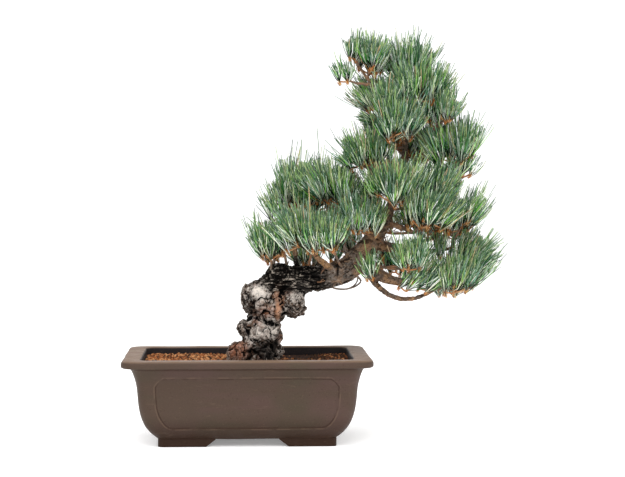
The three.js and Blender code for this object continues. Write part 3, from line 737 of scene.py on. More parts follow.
SOIL_DARK = linear(28, 18, 14)
SOIL_LIGHT = linear(64, 40, 27)
soil_body, tree, shader = new_material("soil_between_grains", linear(44, 28, 20), 0.95)
packed = layered(tree, SOIL_DARK, (SOIL_LIGHT, mottled(tree, 420.0, 0.4, 0.6)))
tree.links.new(packed, shader.inputs["Base Color"])
roughened(tree, shader, mottled(tree, 600.0, 0.2, 0.8), 0.0008)
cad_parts["soil"].data.materials.clear()
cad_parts["soil"].data.materials.append(soil_body)

# The trunk and boughs
# Old wood that leans out of the pot, swollen in healed knots with cracked grey plates at its foot,
# black and furrowed along the arm, and thin brown young wood above. All of it is one skin.
# The trunk's stations are a place and a radius, all in millimetres.
TRUNK_STATIONS = [
    (12, 0, 80, 29),
    (14, 0, 100, 25),
    (15, 0, 116, 22),
    (18, 2, 136, 17),
    (20, 2, 158, 20),
    (34, 4, 179, 17),
    (61, 3, 181.5, 17.2),
    (89, -1, 184.5, 15),
    (113, -4, 193, 15.6),
    (132, -5, 209.5, 15),
    (146, -6, 229, 11.2),
    (158, -8, 247, 7.8),
    (167, -4, 270, 5.4),
    (176, 4, 298, 4.2),
    (184, 6, 333, 3.7),
    (180, 2, 359, 3.2),
    (167, 0, 381, 2.7),
    (147, -3, 404, 2.2),
    (129, -6, 429, 1.7),
]
# Each knot is a middle and three half sizes. The last one is at the elbow, in younger wood.
KNOTS = [
    ((-11, -6, 98), (14, 13, 15)),
    ((34, 4, 98), (10, 14, 12)),
    ((-3, 0, 127), (10, 13, 12)),
    ((22, -6, 117), (20, 18, 20)),
    ((13, -5, 162), (22, 20, 22)),
    ((29, -6, 144), (16, 16, 15)),
    ((54, -6, 157), (16, 16, 20.5)),
    ((38, -2, 189), (17, 15, 13)),
    ((66, -2, 181), (19, 16, 17)),
    ((18, 12, 132), (21, 14, 24)),
    ((30, 16, 168), (19, 12, 18)),
    ((160, -8, 249), (9, 8, 8)),
]
# Each bough leaves the trunk at a share of its length, with a bend, a tip and two radii.
BOUGHS = {
    "bough_front_left": (0.385, (84, -34, 205), (77, -40, 212), (4.6, 3.0)),
    "bough_back_left": (0.28, (56, 14, 226), (50, 10, 246), (3.8, 2.4)),
    "bough_centre_left": (0.42, (108, -10, 232), (105, -14, 256), (3.4, 2.2)),
    "bough_low_right": (0.435, (156, -24, 180), (184, -34, 181), (7.5, 4.6)),
    "bough_low_sweep": (0.45, (161, -30, 140), (213, -20, 170), (4.2, 2.3)),
    "bough_right": (0.555, (176, -20, 246), (185, -30, 239), (4.4, 2.8)),
    "bough_far_right": (0.49, (188, 10, 210), (236, 2, 218), (4.0, 2.0)),
    "bough_upper_right": (0.675, (206, -4, 303), (230, -6, 304), (3.2, 2.0)),
    "bough_upper_left": (0.66, (158, -2, 297), (146, -6, 304), (3.0, 1.9)),
    "bough_top_right": (0.79, (198, -4, 349), (212, -8, 354), (2.6, 1.8)),
    "bough_back_low": (0.34, (84, 40, 204), (82, 50, 216), (3.8, 2.2)),
    "bough_back_mid": (0.475, (144, 40, 226), (146, 54, 236), (3.8, 2.2)),
    "bough_back_right": (0.505, (186, 36, 214), (208, 48, 222), (4.0, 2.2)),
    "bough_back_top": (0.69, (190, 26, 306), (196, 34, 312), (2.8, 1.8)),
}
SKIN_VOXEL = 0.98
LINE_STEPS = 1800
LINE_STRIDE = 12


def through_stations(points, share):
    """A point on the smooth curve that passes through every station, at a share of its steps."""
    count = len(points) - 1
    i = min(int(share * count), count - 1)
    t = share * count - i
    p1, p2 = points[i], points[i + 1]
    p0 = points[i - 1] if i > 0 else 2 * p1 - p2
    p3 = points[i + 2] if i + 2 <= count else 2 * p2 - p1
    d0, d1, d2 = (np.linalg.norm(b - a) ** 0.5 for a, b in ((p0, p1), (p1, p2), (p2, p3)))
    start = ((p1 - p0) / d0 - (p2 - p0) / (d0 + d1) + (p2 - p1) / d1) * d1
    end = ((p2 - p1) / d1 - (p3 - p1) / (d1 + d2) + (p3 - p2) / d2) * d1
    square = -3 * p1 + 3 * p2 - 2 * start - end
    cube = 2 * p1 - 2 * p2 + start + end
    return p1 + start * t + square * t**2 + cube * t**3


stations = np.array(TRUNK_STATIONS, float)
line_shares = np.linspace(0, 1, LINE_STEPS + 1)
trunk_line = np.array([through_stations(stations[:, :3], s) for s in line_shares])
trunk_run = np.concatenate(([0], np.cumsum(np.linalg.norm(np.diff(trunk_line, axis=0), axis=1))))
trunk_run /= trunk_run[-1]
station_shares = trunk_run[:: LINE_STEPS // (len(stations) - 1)]


def trunk_point(share):
    return np.array([np.interp(share, trunk_run, trunk_line[:, k]) for k in range(3)])


def trunk_radius(share):
    return np.interp(share, station_shares, stations[:, 3])


def bend_point(start, bend, end, t):
    """A point on a limb that leaves its start towards the bend and arrives from it."""
    return (1 - t) ** 2 * start + 2 * t * (1 - t) * bend + t**2 * end


def limb(points, radii, sides):
    """A round limb along points in millimetres, drawn as a curve with a radius at each point."""
    bpy.ops.curve.primitive_nurbs_path_add(location=(0, 0, 0))
    curve = bpy.context.object.data
    curve.splines.clear()
    curve.bevel_depth = 0.001
    curve.bevel_resolution = sides // 4
    curve.use_fill_caps = True
    spline = curve.splines.new("POLY")
    spline.points.add(len(points) - 1)
    for point, place, radius in zip(spline.points, points, radii):
        point.co = (*at(*place), 1)
        point.radius = radius
    bpy.ops.object.convert(target="MESH")
    return bpy.context.object


CORE_SHARE = 0.97
shares = np.linspace(0, 1, 150)
core_radii = [trunk_radius(s) * CORE_SHARE for s in shares]
limbs = [limb([trunk_point(s) for s in shares], core_radii, 24)]
steps = np.linspace(0, 1, 16)
for leaves, bend, tip, (thick, thin) in BOUGHS.values():
    ends = trunk_point(leaves), np.array(bend), np.array(tip)
    bough_radii = [thick + (thin - thick) * t for t in steps]
    limbs.append(limb([bend_point(*ends, t) for t in steps], bough_radii, 12))
for place, half in KNOTS:
    bpy.ops.mesh.primitive_ico_sphere_add(subdivisions=5, radius=1, location=at(*place))
    knot = bpy.context.object
    knot.scale = [h / 1000 for h in half]
    bpy.ops.object.transform_apply(location=True, rotation=True, scale=True)
    limbs.append(knot)
bpy.ops.object.select_all(action="DESELECT")
for part in limbs:
    part.select_set(True)
skin = limbs[0]
bpy.context.view_layer.objects.active = skin
bpy.ops.object.join()
skin.name = "bark_skin"
whole = skin.modifiers.new("one_skin", "REMESH")
whole.mode = "VOXEL"
whole.voxel_size = SKIN_VOXEL / 1000
bpy.ops.object.modifier_apply(modifier="one_skin")
eased = skin.modifiers.new("eased", "SMOOTH")
eased.factor = 0.5
eased.iterations = 2
bpy.ops.object.modifier_apply(modifier="eased")


def vertex_normals(piece):
    normals = np.zeros(len(piece.data.vertices) * 3)
    piece.data.vertices.foreach_get("normal", normals)
    return normals.reshape(-1, 3)


def nearest_on_trunk(points):
    """The trunk's share and the distance to its middle line for each point."""
    best = np.full(len(points), FAR_AWAY)
    share = np.zeros(len(points))
    for place, run in zip(trunk_line[::LINE_STRIDE], trunk_run[::LINE_STRIDE]):
        apart = np.linalg.norm(points - place, axis=1)
        closer = apart < best
        best[closer] = apart[closer]
        share[closer] = run
    return share, best


def near_knots(points):
    """From 1 on or in a knot of the old trunk to 0 a few millimetres away from all of them."""
    nearest = np.full(len(points), 9.0)
    for place, half in KNOTS[:-1]:
        scaled = (points - np.array(place)) / np.array(half)
        reach = np.linalg.norm(scaled, axis=1)
        nearest = np.minimum(nearest, (reach - 1) * min(half))
    return 1 - smooth_step(nearest / 5)


def crack_lines(point, width):
    """From 0 to 1 on the wandering lines where a noise changes sign."""
    return math.exp(-((noise.fractal(point, 0.9, 2.1, 4) / width) ** 2))


def plate_edges(point, width):
    """From 0 to 1 on the borders of warped cells, and each cell's own number."""
    spaced, centres = noise.voronoi(point)
    return max(0, 1 - (spaced[1] - spaced[0]) / width), noise.cell(centres[0] * 7.3)


def patch(place, half):
    """From 1 at a place to 0 beyond its half sizes, in millimetres."""
    away = np.linalg.norm((places - np.array(place)) / np.array(half), axis=1)
    return 1 - smooth_step(away - 0.45)


places = vertex_places(skin)
normals = vertex_normals(skin)
share, apart = nearest_on_trunk(places)
on_knot = near_knots(places)
low = smooth_step((0.5 - share) / 0.1) * smooth_step((30 - apart) / 7)
old = np.maximum(low, np.maximum(on_knot, smooth_step((152 - places[:, 2]) / 10)))
arm = smooth_step((share - 0.185) / 0.03) * smooth_step((0.385 - share) / 0.06) * low
arm *= smooth_step((places[:, 2] - 164) / 8)
elbow = smooth_step((share - 0.335) / 0.05) * smooth_step((0.62 - share) / 0.12)
elbow *= smooth_step((26 - apart) / 8)
spur = patch((87, -29, 202), (19, 13, 16))
# Painted highlights: pale patches on the upper fronts of three knots, where the light falls. They
# also flatten the plates and fade the cracks there.
pale_knot = patch((16, -24, 171), (12, 15, 10.5))
pale_middle = 0.45 * patch((22, -22, 126), (16, 16, 10))
pale_right = 0.75 * patch((60, -22, 170), (12, 14, 12))
bleached = np.maximum.reduce([pale_knot, pale_middle, pale_right])
# Painted shadow: a black patch on the right of the trunk's foot, where the shade falls. It is
# painted with the cracks.
foot_shadow = patch((24, -24, 102), (22, 14, 12))
rusty_foot = patch((-10, -16, 101), (15, 14, 12))
rusty_cleft = patch((36.5, -21, 160), (4.6, 16, 23))
rusty_lobe = patch((47, -18, 174), (12, 15, 7))
rusty_mid = 0.6 * patch((24, -20, 146), (13, 14, 7))
spur_cleft = np.maximum(
    patch((104.5, -26, 201), (5, 20, 3.6)), patch((104, -26, 193), (1.7, 20, 8))
)
arm *= 1 - spur
elbow *= 1 - spur
knotted = old * (1 - 0.85 * arm) * (1 - 0.7 * elbow) * (1 - 0.45 * bleached)
knotted *= 1 - 0.55 * rusty_cleft

# Each kind of bark has its own relief, in millimetres: plates that stand apart on the knots,
# furrows along the arm, faint cracks on the elbow and small flakes on the young wood.
relief, plate_tone, crack, furrows = np.zeros((4, len(places)))
for i, place in enumerate(places):
    point = Vector(place)
    warp = drift(point * 0.06) * 7 + drift(point * 0.2) * 2
    rough = noise.fractal(point * 0.3, 0.9, 2.1, 4)
    lump = noise.noise(point * 0.06)
    wide_crack = crack_lines((point + warp) * 0.032, 0.08)
    thin_crack = crack_lines((point + warp) * 0.085, 0.085)
    border, number = plate_edges((point + warp * 1.6) * 0.056, 0.13)
    chip_border, chip_number = plate_edges((point + warp) * 0.17, 0.1)
    flake_border, flake_number = plate_edges((point + warp * 0.3) * 0.33, 0.2)
    along = Vector((point.x * 0.045, point.y * 0.2, point.z * 0.2)) + warp * 0.04
    furrow = crack_lines(along, 0.15)
    relief[i] = knotted[i] * (1.6 * lump + 0.5 * rough - 1.8 * wide_crack)
    relief[i] -= knotted[i] * (0.3 * thin_crack + 0.9 * border + 0.15 * chip_border)
    relief[i] += knotted[i] * (2.0 * (number - 0.5) + 0.8 * (chip_number - 0.5))
    relief[i] += arm[i] * (rough + lump - 2.6 * furrow - 0.5 * chip_border)
    relief[i] += elbow[i] * (0.6 * rough - 0.4 * thin_crack - 0.12 * chip_border)
    relief[i] += (1 - old[i]) * (0.5 * rough - 0.4 * thin_crack - 0.7 * flake_border)
    plate_tone[i] = 0.4 * number + 0.35 * chip_number + 0.25 * flake_number
    crack[i] = old[i] * max(wide_crack, 0.9 * border, 0.75 * thin_crack, 0.25 * chip_border)
    crack[i] += (1 - old[i]) * 0.6 * max(thin_crack, chip_border, 0.7 * flake_border)
    crack[i] *= (1 - 0.85 * elbow[i]) * (1 - 0.8 * bleached[i]) * (1 - 0.85 * rusty_cleft[i])
    furrows[i] = arm[i] * furrow
FULL_RELIEF_AT = 9
UNDER_SOIL = 3
places += normals * relief[:, None] * np.clip(apart / FULL_RELIEF_AT, 0.25, 1)[:, None]
places[:, 2] = np.maximum(places[:, 2], SOIL_LEVEL - UNDER_SOIL)
set_vertex_places(skin, places)

# Hollows are where the skin lies deeper than the mean of what is round it. The bark's material
# paints them black, as painted shade.
HOLLOW_ROUNDS = 6
HOLLOW_DEPTH = 1.6
edges = np.zeros(len(skin.data.edges) * 2, np.int32)
skin.data.edges.foreach_get("vertices", edges)
edges = edges.reshape(-1, 2)
around = np.bincount(edges.ravel(), minlength=len(places))[:, None]
spread = places.copy()
for _ in range(HOLLOW_ROUNDS):
    total = np.zeros_like(spread)
    np.add.at(total, edges[:, 0], spread[edges[:, 1]])
    np.add.at(total, edges[:, 1], spread[edges[:, 0]])
    spread = total / around
hollow = np.einsum("ij,ij->i", spread - places, vertex_normals(skin)) * (1 - 0.7 * elbow)
hollow *= 1 - 0.6 * rusty_cleft
paint(
    skin,
    hollow=np.clip(0.5 + hollow / HOLLOW_DEPTH, 0, 1),
    # The cracks' mask also carries the painted shadow at the trunk's foot.
    crack=np.clip(crack + furrows + 0.85 * foot_shadow + spur_cleft, 0, 1),
    plate=plate_tone,
    old=old,
    arm=arm,
    elbow=elbow,
    bleached=bleached,
    rusty=np.maximum.reduce([rusty_foot, rusty_lobe, rusty_mid]),
    salmon=rusty_cleft,
    spur=spur,
)

BARK_BROWN = linear(136, 114, 98)
BARK_GREY = linear(214, 200, 188)
# The pale colour is for flakes, and also for the painted highlights on the knots.
BARK_PALE = linear(238, 228, 218)
BARK_RUST = linear(156, 98, 70)
BARK_SALMON = linear(196, 142, 108)
BARK_DARK = linear(72, 60, 52)
BARK_SOOT = linear(6, 5, 5)
BARK_RIDGE = linear(200, 188, 174)
# Black for cracks and specks, and for painted shade at the trunk's foot and in the skin's hollows.
BARK_BLACK = linear(5, 4, 4)
BARK_ELBOW = linear(34, 28, 24)
BARK_DRAB = linear(128, 112, 99)
BARK_YOUNG = linear(122, 106, 94)
BARK_TAN = linear(168, 132, 100)
BARK_SPUR = linear(190, 148, 104)

bark, tree, shader = new_material("pine_bark", BARK_BROWN, 0.88, specular=0.06)
# A mottle that breaks up the painted highlights on the knots.
broken_highlight = mottled(tree, 150.0, 0.38, 0.47, detail=6, coarse=0.72)
old_tone = layered(
    tree,
    BARK_DARK,
    (BARK_GREY, painted(tree, "plate")),
    (BARK_BROWN, mottled(tree, 70.0, 0.42, 0.6), 0.6),
    (BARK_PALE, mottled(tree, 130.0, 0.5, 0.56, detail=6, coarse=0.68, swirl=1.4), 0.6),
    (BARK_RUST, mottled(tree, 47.0, 0.58, 0.68, detail=4), 0.5),
    (BARK_RUST, painted(tree, "rusty"), 0.75),
    (BARK_SALMON, painted(tree, "salmon"), 0.85),
    # Painted highlights on the knots' lit upper fronts.
    (BARK_PALE, both(tree, painted(tree, "bleached"), broken_highlight), 0.86),
)
ridges = mottled(tree, (60.0, 330.0, 330.0), 0.52, 0.58, detail=5, coarse=0.62, swirl=0.9)
arm_tone = layered(tree, BARK_SOOT, (BARK_RIDGE, ridges, 0.9))
elbow_scales = mottled(tree, (70.0, 110.0, 110.0), 0.44, 0.52, detail=6, coarse=0.66, swirl=1.0)
elbow_tone = layered(tree, BARK_DRAB, (BARK_TAN, mottled(tree, 55.0, 0.44, 0.6, detail=4)))
elbow_tone = layered(tree, BARK_ELBOW, (elbow_tone, elbow_scales, 0.95))
young_tone = layered(tree, BARK_YOUNG, (BARK_TAN, mottled(tree, 90.0, 0.4, 0.62, detail=4)))
spur_tone = layered(tree, BARK_SPUR, (BARK_TAN, mottled(tree, 160.0, 0.42, 0.6, detail=4)))
old_tone = layered(tree, old_tone, (arm_tone, painted(tree, "arm"), 0.95))
specks = mottled(tree, (190.0, 190.0, 260.0), 0.57, 0.63, detail=5, coarse=0.65, swirl=1.2)
tone = layered(
    tree,
    young_tone,
    (old_tone, painted(tree, "old")),
    (spur_tone, painted(tree, "spur"), 0.9),
    (BARK_BLACK, specks, 0.7),
    (elbow_tone, painted(tree, "elbow"), 0.8),
    # Black in the cracks, and the painted shadow at the trunk's foot.
    (BARK_BLACK, painted(tree, "crack"), 0.94),
    # Painted shade: black in the skin's hollows and folds.
    (BARK_BLACK, climbing(tree, painted(tree, "hollow"), 0.57, 0.78)),
)
tree.links.new(tone, shader.inputs["Base Color"])
scaly = mottled(tree, (340.0, 340.0, 520.0), 0.25, 0.75, detail=6, coarse=0.68, swirl=0.8)
roughened(tree, shader, scaly, 0.0011)
skin.data.materials.clear()
skin.data.materials.append(bark)
skin.data.polygons.foreach_set("use_smooth", np.ones(len(skin.data.polygons), bool))
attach(skin, "root")
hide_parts("trunk", *BOUGHS)

# The stems and twigs
# Thin shoots that carry the needles: one stem for each mass, from its bough's tip or the trunk,
# with side twigs spaced by the golden angle and a fan of short shoots at the end of each.
# A mass leaves the trunk at a share of its length, or a bough at its tip. Then come the mass's
# own tip, its lean in x and y, the needles' length, the number of tufts and how far they spread.
MASSES = {
    "apex": (1, (125, -7, 439), (0.05, 0), 30, 1, 0),
    "apex_right": (0.96, (141, 2, 424), (0.1, 0.1), 45, 3, 14),
    "apex_left": (0.945, (115.5, -8, 413), (-0.18, -0.1), 29, 1, 0),
    "crest": (0.88, (183, 14, 413), (-0.05, 0.15), 54, 3, 16),
    "crest_front": (0.835, (160, -24, 374), (-0.1, -0.35), 43, 1, 0),
    "crest_left": (0.85, (148, 12, 384), (-0.6, 0.15), 41, 2, 12),
    "crest_right": (0.835, (199, -16, 392), (0.05, -0.15), 46, 3, 15),
    "crest_back": (0.865, (163, 26, 384), (-0.1, 0.5), 42, 2, 18),
    "upper_front": (0.765, (177, -27, 350), (0.15, -0.3), 47, 3, 18),
    "upper_left": (0.755, (154, 4, 345), (-0.25, 0.1), 34, 1, 0),
    "upper_back": (0.74, (176, 42, 338), (0.2, 0.5), 42, 3, 20),
    "top_right": ("bough_top_right", (222, -10, 366), (0.1, -0.15), 46, 4, 16),
    "upper_right": ("bough_upper_right", (235, -8, 323), (-0.15, -0.05), 51, 4, 17),
    "shoulder_left": ("bough_upper_left", (138, -12, 317), (-0.25, -0.2), 46, 3, 16),
    "heart_front": (0.6, (168, -36, 277), (0.0, -0.3), 50, 3, 17),
    "heart_back": (0.625, (164, 38, 290), (-0.2, 0.5), 45, 3, 22),
    "heart_right": (0.595, (214, -8, 276), (0.3, 0), 48, 3, 20),
    "heart_left": (0.585, (146, 8, 270), (-0.25, 0.3), 42, 1, 0),
    "right_front": ("bough_right", (198, -43, 246), (0.15, -0.35), 48, 3, 16),
    "far_right": ("bough_far_right", (236, -4, 242), (0, 0), 50, 3, 16),
    "low_front": (0.52, (126, -36, 243), (-0.15, -0.4), 46, 2, 14),
    "centre_left": ("bough_centre_left", (104, -16, 274), (-0.1, -0.1), 50, 3, 17),
    "left_crown": ("bough_back_left", (57, 8, 270), (0.1, 0), 58, 3, 11),
    "left_middle": (0.305, (80, 12, 266), (0.05, 0.15), 56, 3, 18),
    "left_edge": (0.26, (36, -16, 257), (-0.4, -0.15), 34, 1, 0),
    "left_knob": (0.21, (27, -16, 211), (-0.08, -0.2), 54, 1, 0),
    "left_front": ("bough_front_left", (68, -47, 223), (-0.12, -0.25), 54, 2, 10),
    "middle_front": (0.4, (97, -46, 224), (0.1, -0.3), 44, 2, 14),
    "low_right_front": ("bough_low_right", (192, -38, 199), (0.1, -0.25), 42, 2, 14),
    "low_sweep": ("bough_low_sweep", (242, -14, 171), (0.2, -0.1), 60, 4, 16),
    "low_hollow": (0.43, (143, -38, 186), (-0.15, -0.4), 34, 1, 0),
    "right_under": (0.44, (250, 8, 199), (0.6, 0.1), 54, 3, 15),
    "right_inner": (0.535, (214, 16, 240), (0.2, 0.2), 42, 2, 16),
    "low_back": (0.46, (176, 34, 192), (0.2, 0.5), 44, 3, 20),
    "left_back": ("bough_back_low", (78, 56, 230), (-0.1, 0.4), 48, 3, 24),
    "middle_back": ("bough_back_mid", (144, 60, 246), (-0.1, 0.4), 46, 3, 22),
    "right_back": ("bough_back_right", (216, 52, 232), (0.3, 0.4), 46, 4, 24),
    "upper_right_back": ("bough_back_top", (206, 44, 322), (0.2, 0.4), 46, 3, 20),
    "knob_back": (0.225, (32, 34, 206), (-0.3, 0.5), 44, 2, 16),
    "arm_back": (0.32, (70, 26, 197), (0, 0.3), 36, 2, 14),
    "right_sprig": (0.64, (249, -10, 303), (0.35, 0), 36, 2, 9),
    "low_inner": (0.455, (199, -30, 176), (0.75, -0.1), 38, 2, 12),
    "elbow_back": (0.42, (124, 24, 214), (-0.15, 0.25), 38, 2, 12),
}
GOLDEN_ANGLE = math.pi * (3 - math.sqrt(5))
SHOOTS_IN_TUFT = 4
SHORT_NEEDLE = 35
SHOOTS_IN_SMALL_TUFT = 2
SHOOT_SHARE = 0.2
HEAD_SHARE = 0.6
STAND_OFF_SHARE = 0.3
SIDE_SHOOT_LEAN = 0.34
TUFT_LEAN = 0.35


def seeded(seed):
    """Numbers from 0 to 1 by the same rule as the solids' source, so both grow alike."""
    state = seed & 0xFFFFFFFF

    def number():
        nonlocal state
        state = (state * 1664525 + 1013904223) & 0xFFFFFFFF
        return state / 4294967296

    return number


def between(low, high, share):
    return low + (high - low) * share


def unit(v):
    return v / np.linalg.norm(v)


def grow_mass(name, seed):
    """A mass's stem, and its tufts as base, axis, needle length and the twig's foot."""
    root_at, tip, lean, needle, tuft_count, spread_by = MASSES[name]
    number = seeded(seed * 7919 + 17)
    tip = np.array(tip, float)
    if isinstance(root_at, str):
        leaves, bend, end, _ = BOUGHS[root_at]
        root = np.array(end, float)
        onward = unit(root - np.array(bend, float))
        middle = root + 0.4 * np.linalg.norm(tip - root) * onward
    else:
        root = trunk_point(root_at)
        middle = (root + tip) / 2 - np.array((0, 0, 0.12 * np.linalg.norm(tip - root)))
    axis = unit(np.array((lean[0], lean[1], 1.0)))
    tufts = [(tip, axis, needle, None)]
    start = number() * 2 * math.pi
    for i in range(1, tuft_count):
        along = between(0.45, 0.8, number())
        angle = start + i * GOLDEN_ANGLE
        reach = spread_by * between(0.8, 1.1, number())
        rise = spread_by * between(-0.15, 0.45, number())
        aside = np.array((math.cos(angle), math.sin(angle), 0))
        base = tip + reach * aside + np.array((0, 0, rise))
        length = needle * between(0.8, 1.0, number())
        foot_of_twig = bend_point(root, middle, tip, along)
        tufts.append((base, unit(axis + TUFT_LEAN * aside), length, foot_of_twig))
    return {"root": root, "middle": middle, "tip": tip, "tufts": tufts}


grown = {name: grow_mass(name, i + 1) for i, name in enumerate(MASSES)}

# Small tufts that the solids don't have, on twigs of their own, where the photograph shows
# needles: the mass, the tuft's base and direction, the needles' length and the twig's foot.
LATE_TUFTS = (
    ("low_right_front", (183, -32, 172), (0.6, -0.2, 0.75), 31, (184, -34, 181)),
    ("far_right", (223, -2, 210), (0.05, -0.1, 1), 30, (226, 4, 217)),
    ("crest_left", (146, 4, 366), (-0.85, 0, 0.4), 20, (152, 6, 371)),
    ("elbow_back", (98, 4, 205), (0.15, 0, 1), 22, (100, 2, 196)),
)
for name, base, axis, needle, foot_of_twig in LATE_TUFTS:
    base, axis, foot_of_twig = (np.array(v, float) for v in (base, axis, foot_of_twig))
    grown[name]["tufts"].append((base, unit(axis), needle, foot_of_twig))


def round_line(side, other, sides):
    """Directions round each point of a line, from two across it."""
    turn = np.arange(sides) * 2 * math.pi / sides
    across, up = np.cos(turn)[None, :, None], np.sin(turn)[None, :, None]
    return across * side[:, None] + up * other[:, None]


def tube(points, radii, sides):
    """A thin closed tube in millimetres, as corners and triangles."""
    points = np.array(points, float)
    along = np.gradient(points, axis=0)
    along /= np.linalg.norm(along, axis=1)[:, None]
    helper = np.array((0.31, 0.22, 0.93)) if abs(along[0][2]) < 0.8 else np.array((0.95, 0.3, 0.1))
    side = np.cross(along, helper)
    side /= np.linalg.norm(side, axis=1)[:, None]
    ring = round_line(side, np.cross(along, side), sides)
    corners = (points[:, None] + ring * np.array(radii)[:, None, None]).reshape(-1, 3)
    faces = []
    for k in range(len(points) - 1):
        for j in range(sides):
            a, b = k * sides + j, k * sides + (j + 1) % sides
            faces += [(a, b, b + sides), (a, b + sides, a + sides)]
    last = (len(points) - 1) * sides
    for j in range(1, sides - 1):
        faces += [(0, j + 1, j), (last, last + j, last + j + 1)]
    return corners, np.array(faces)


twig_random = np.random.default_rng(23)


def wandering(points, amount):
    """The points pushed off their line a little, but for the two ends."""
    moved = np.array(points, float)
    moved[1:-1] += twig_random.normal(0, amount, moved[1:-1].shape)
    return moved


def across_axis(axis, slant):
    """Two directions across an axis, the first of them square to a slant as well."""
    side = unit(np.cross(axis, slant))
    return side, np.cross(axis, side)


TUFT_SLANT = (0.3, 0.9, 0.2)
SHOOT_SLANT = (0.41, 0.83, 0.37)
STEM_RADII = (1.9, 1.15)
TWIG_RADII = (1.25, 1.0)
SHOOT_RADII = (1.05, 0.8)
twig_tubes = []
shoot_tubes = []
shoots = []
for name, mass in grown.items():
    steps = np.linspace(0, 1, 12)
    ends = mass["root"], mass["middle"], mass["tip"]
    stem = wandering([bend_point(*ends, t) for t in steps], 0.35)
    uneven = twig_random.uniform(0.9, 1.12, len(steps))
    twig_tubes.append(tube(stem, between(*STEM_RADII, steps) * uneven, 7))
    for base, axis, length, foot_of_twig in mass["tufts"]:
        if foot_of_twig is not None:
            middle = (foot_of_twig + base) / 2 - np.array((0, 0, 1.5))
            steps = np.linspace(0, 1, 7)
            twig = wandering([bend_point(foot_of_twig, middle, base, t) for t in steps], 0.25)
            twig_tubes.append(tube(twig, between(*TWIG_RADII, steps), 7))
        turned = twig_random.uniform(0, 2 * math.pi)
        side, other = across_axis(axis, TUFT_SLANT)
        shoot_count = SHOOTS_IN_TUFT if length > SHORT_NEEDLE else SHOOTS_IN_SMALL_TUFT
        for k in range(shoot_count):
            angle = turned + k * GOLDEN_ANGLE
            aside = math.cos(angle) * side + math.sin(angle) * other
            off = math.sqrt(k / (shoot_count - 1)) * twig_random.uniform(0.8, 1.15)
            foot_of_shoot = base - axis * 0.08 * length
            head = base + aside * off * STAND_OFF_SHARE * length
            head = head + axis * twig_random.uniform(-0.13, 0.1) * length
            heading = unit(axis + aside * off * SIDE_SHOOT_LEAN)
            end = head + heading * SHOOT_SHARE * length * HEAD_SHARE
            steps = np.linspace(0, 1, 5)
            line = [bend_point(foot_of_shoot, head, end, t) for t in steps]
            shoot_tubes.append(tube(line, between(*SHOOT_RADII, steps), 6))
            shoots.append((name, base, axis, head, heading, length))

# Bare twiglets, short, thin and forked, that have lost their needles stand out of the trunk.
BARE_TWIGLETS = 90
TWIGLET_RADII = (0.75, 0.4)
FORK_RADII = (0.55, 0.48, 0.4)
for _ in range(BARE_TWIGLETS):
    start_share = twig_random.uniform(0.24, 0.93)
    foot_of_twig = trunk_point(start_share)
    out = unit(twig_random.normal(size=3) * np.array((1, 1, 0.5)) + np.array((0.1, -0.1, 0.35)))
    radius = trunk_radius(start_share)
    foot_of_twig = foot_of_twig + out * radius * 0.8
    long = twig_random.uniform(9, 22)
    bend = foot_of_twig + out * long * 0.5 + twig_random.normal(0, 2.2, 3)
    end = foot_of_twig + out * long + np.array((0, 0, 0.25 * long))
    steps = np.linspace(0, 1, 7)
    twiglet = [bend_point(foot_of_twig, bend, end, t) for t in steps]
    twig_tubes.append(tube(twiglet, between(*TWIGLET_RADII, steps), 5))
    fork = bend_point(foot_of_twig, bend, end, 0.55)
    fork_end = fork + unit(out + twig_random.normal(0, 0.7, 3)) * long * 0.45
    fork_middle = (fork + fork_end) / 2 + (0, 0, 0.6)
    twig_tubes.append(tube([fork, fork_middle, fork_end], FORK_RADII, 5))

# A dead twiglet hangs in a loop under the arm, and a second one runs back along it.
DEAD_RADII = (1.25, 0.8)
DEAD_TWIGS = [
    [
        (102, -12, 179), (99, -15, 174), (108, -16, 172),
        (118, -16, 173), (126, -14, 179), (128, -10, 186),
    ],
    [(128, -12, 186), (131, -16, 181), (124, -17, 175), (114, -16, 172)],
]
dead_tubes = []
for line in DEAD_TWIGS:
    stops = [np.array(p, float) for p in line]
    steps = np.linspace(0, 0.999, 14)
    dead_line = [through_stations(stops, t) for t in steps]
    dead_tubes.append(tube(dead_line, between(*DEAD_RADII, steps), 6))

twigs = joined_piece("twigs", *zip(*twig_tubes))
dead_twigs = joined_piece("dead_twigs", *zip(*dead_tubes))
new_shoots = joined_piece("new_shoots", *zip(*shoot_tubes))
TWIG_BROWN = linear(140, 112, 88)
TWIG_RED = linear(156, 112, 82)
TWIG_GREY = linear(108, 96, 86)
TWIG_DEAD = linear(70, 58, 50)
SHOOT_TAN = linear(196, 150, 108)
SHOOT_ORANGE = linear(190, 124, 74)
for piece, name, first, second in (
    (twigs, "twig_bark", TWIG_GREY, TWIG_RED),
    (dead_twigs, "dead_twig_bark", TWIG_DEAD, TWIG_GREY),
    (new_shoots, "shoot_bark", SHOOT_TAN, SHOOT_ORANGE),
):
    young_bark, tree, shader = new_material(name, first, 0.78)
    tone = layered(
        tree,
        first,
        (second, mottled(tree, 110.0, 0.42, 0.6)),
        (TWIG_BROWN, mottled(tree, 1300.0, 0.45, 0.6), 0.6),
    )
    tree.links.new(tone, shader.inputs["Base Color"])
    roughened(tree, shader, mottled(tree, 1500.0, 0.2, 0.8), 0.0004)
    piece.data.materials.append(young_bark)
    piece.data.polygons.foreach_set("use_smooth", np.ones(len(piece.data.polygons), bool))
    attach(piece, "root")
    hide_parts(*["foliage_" + name for name in MASSES])

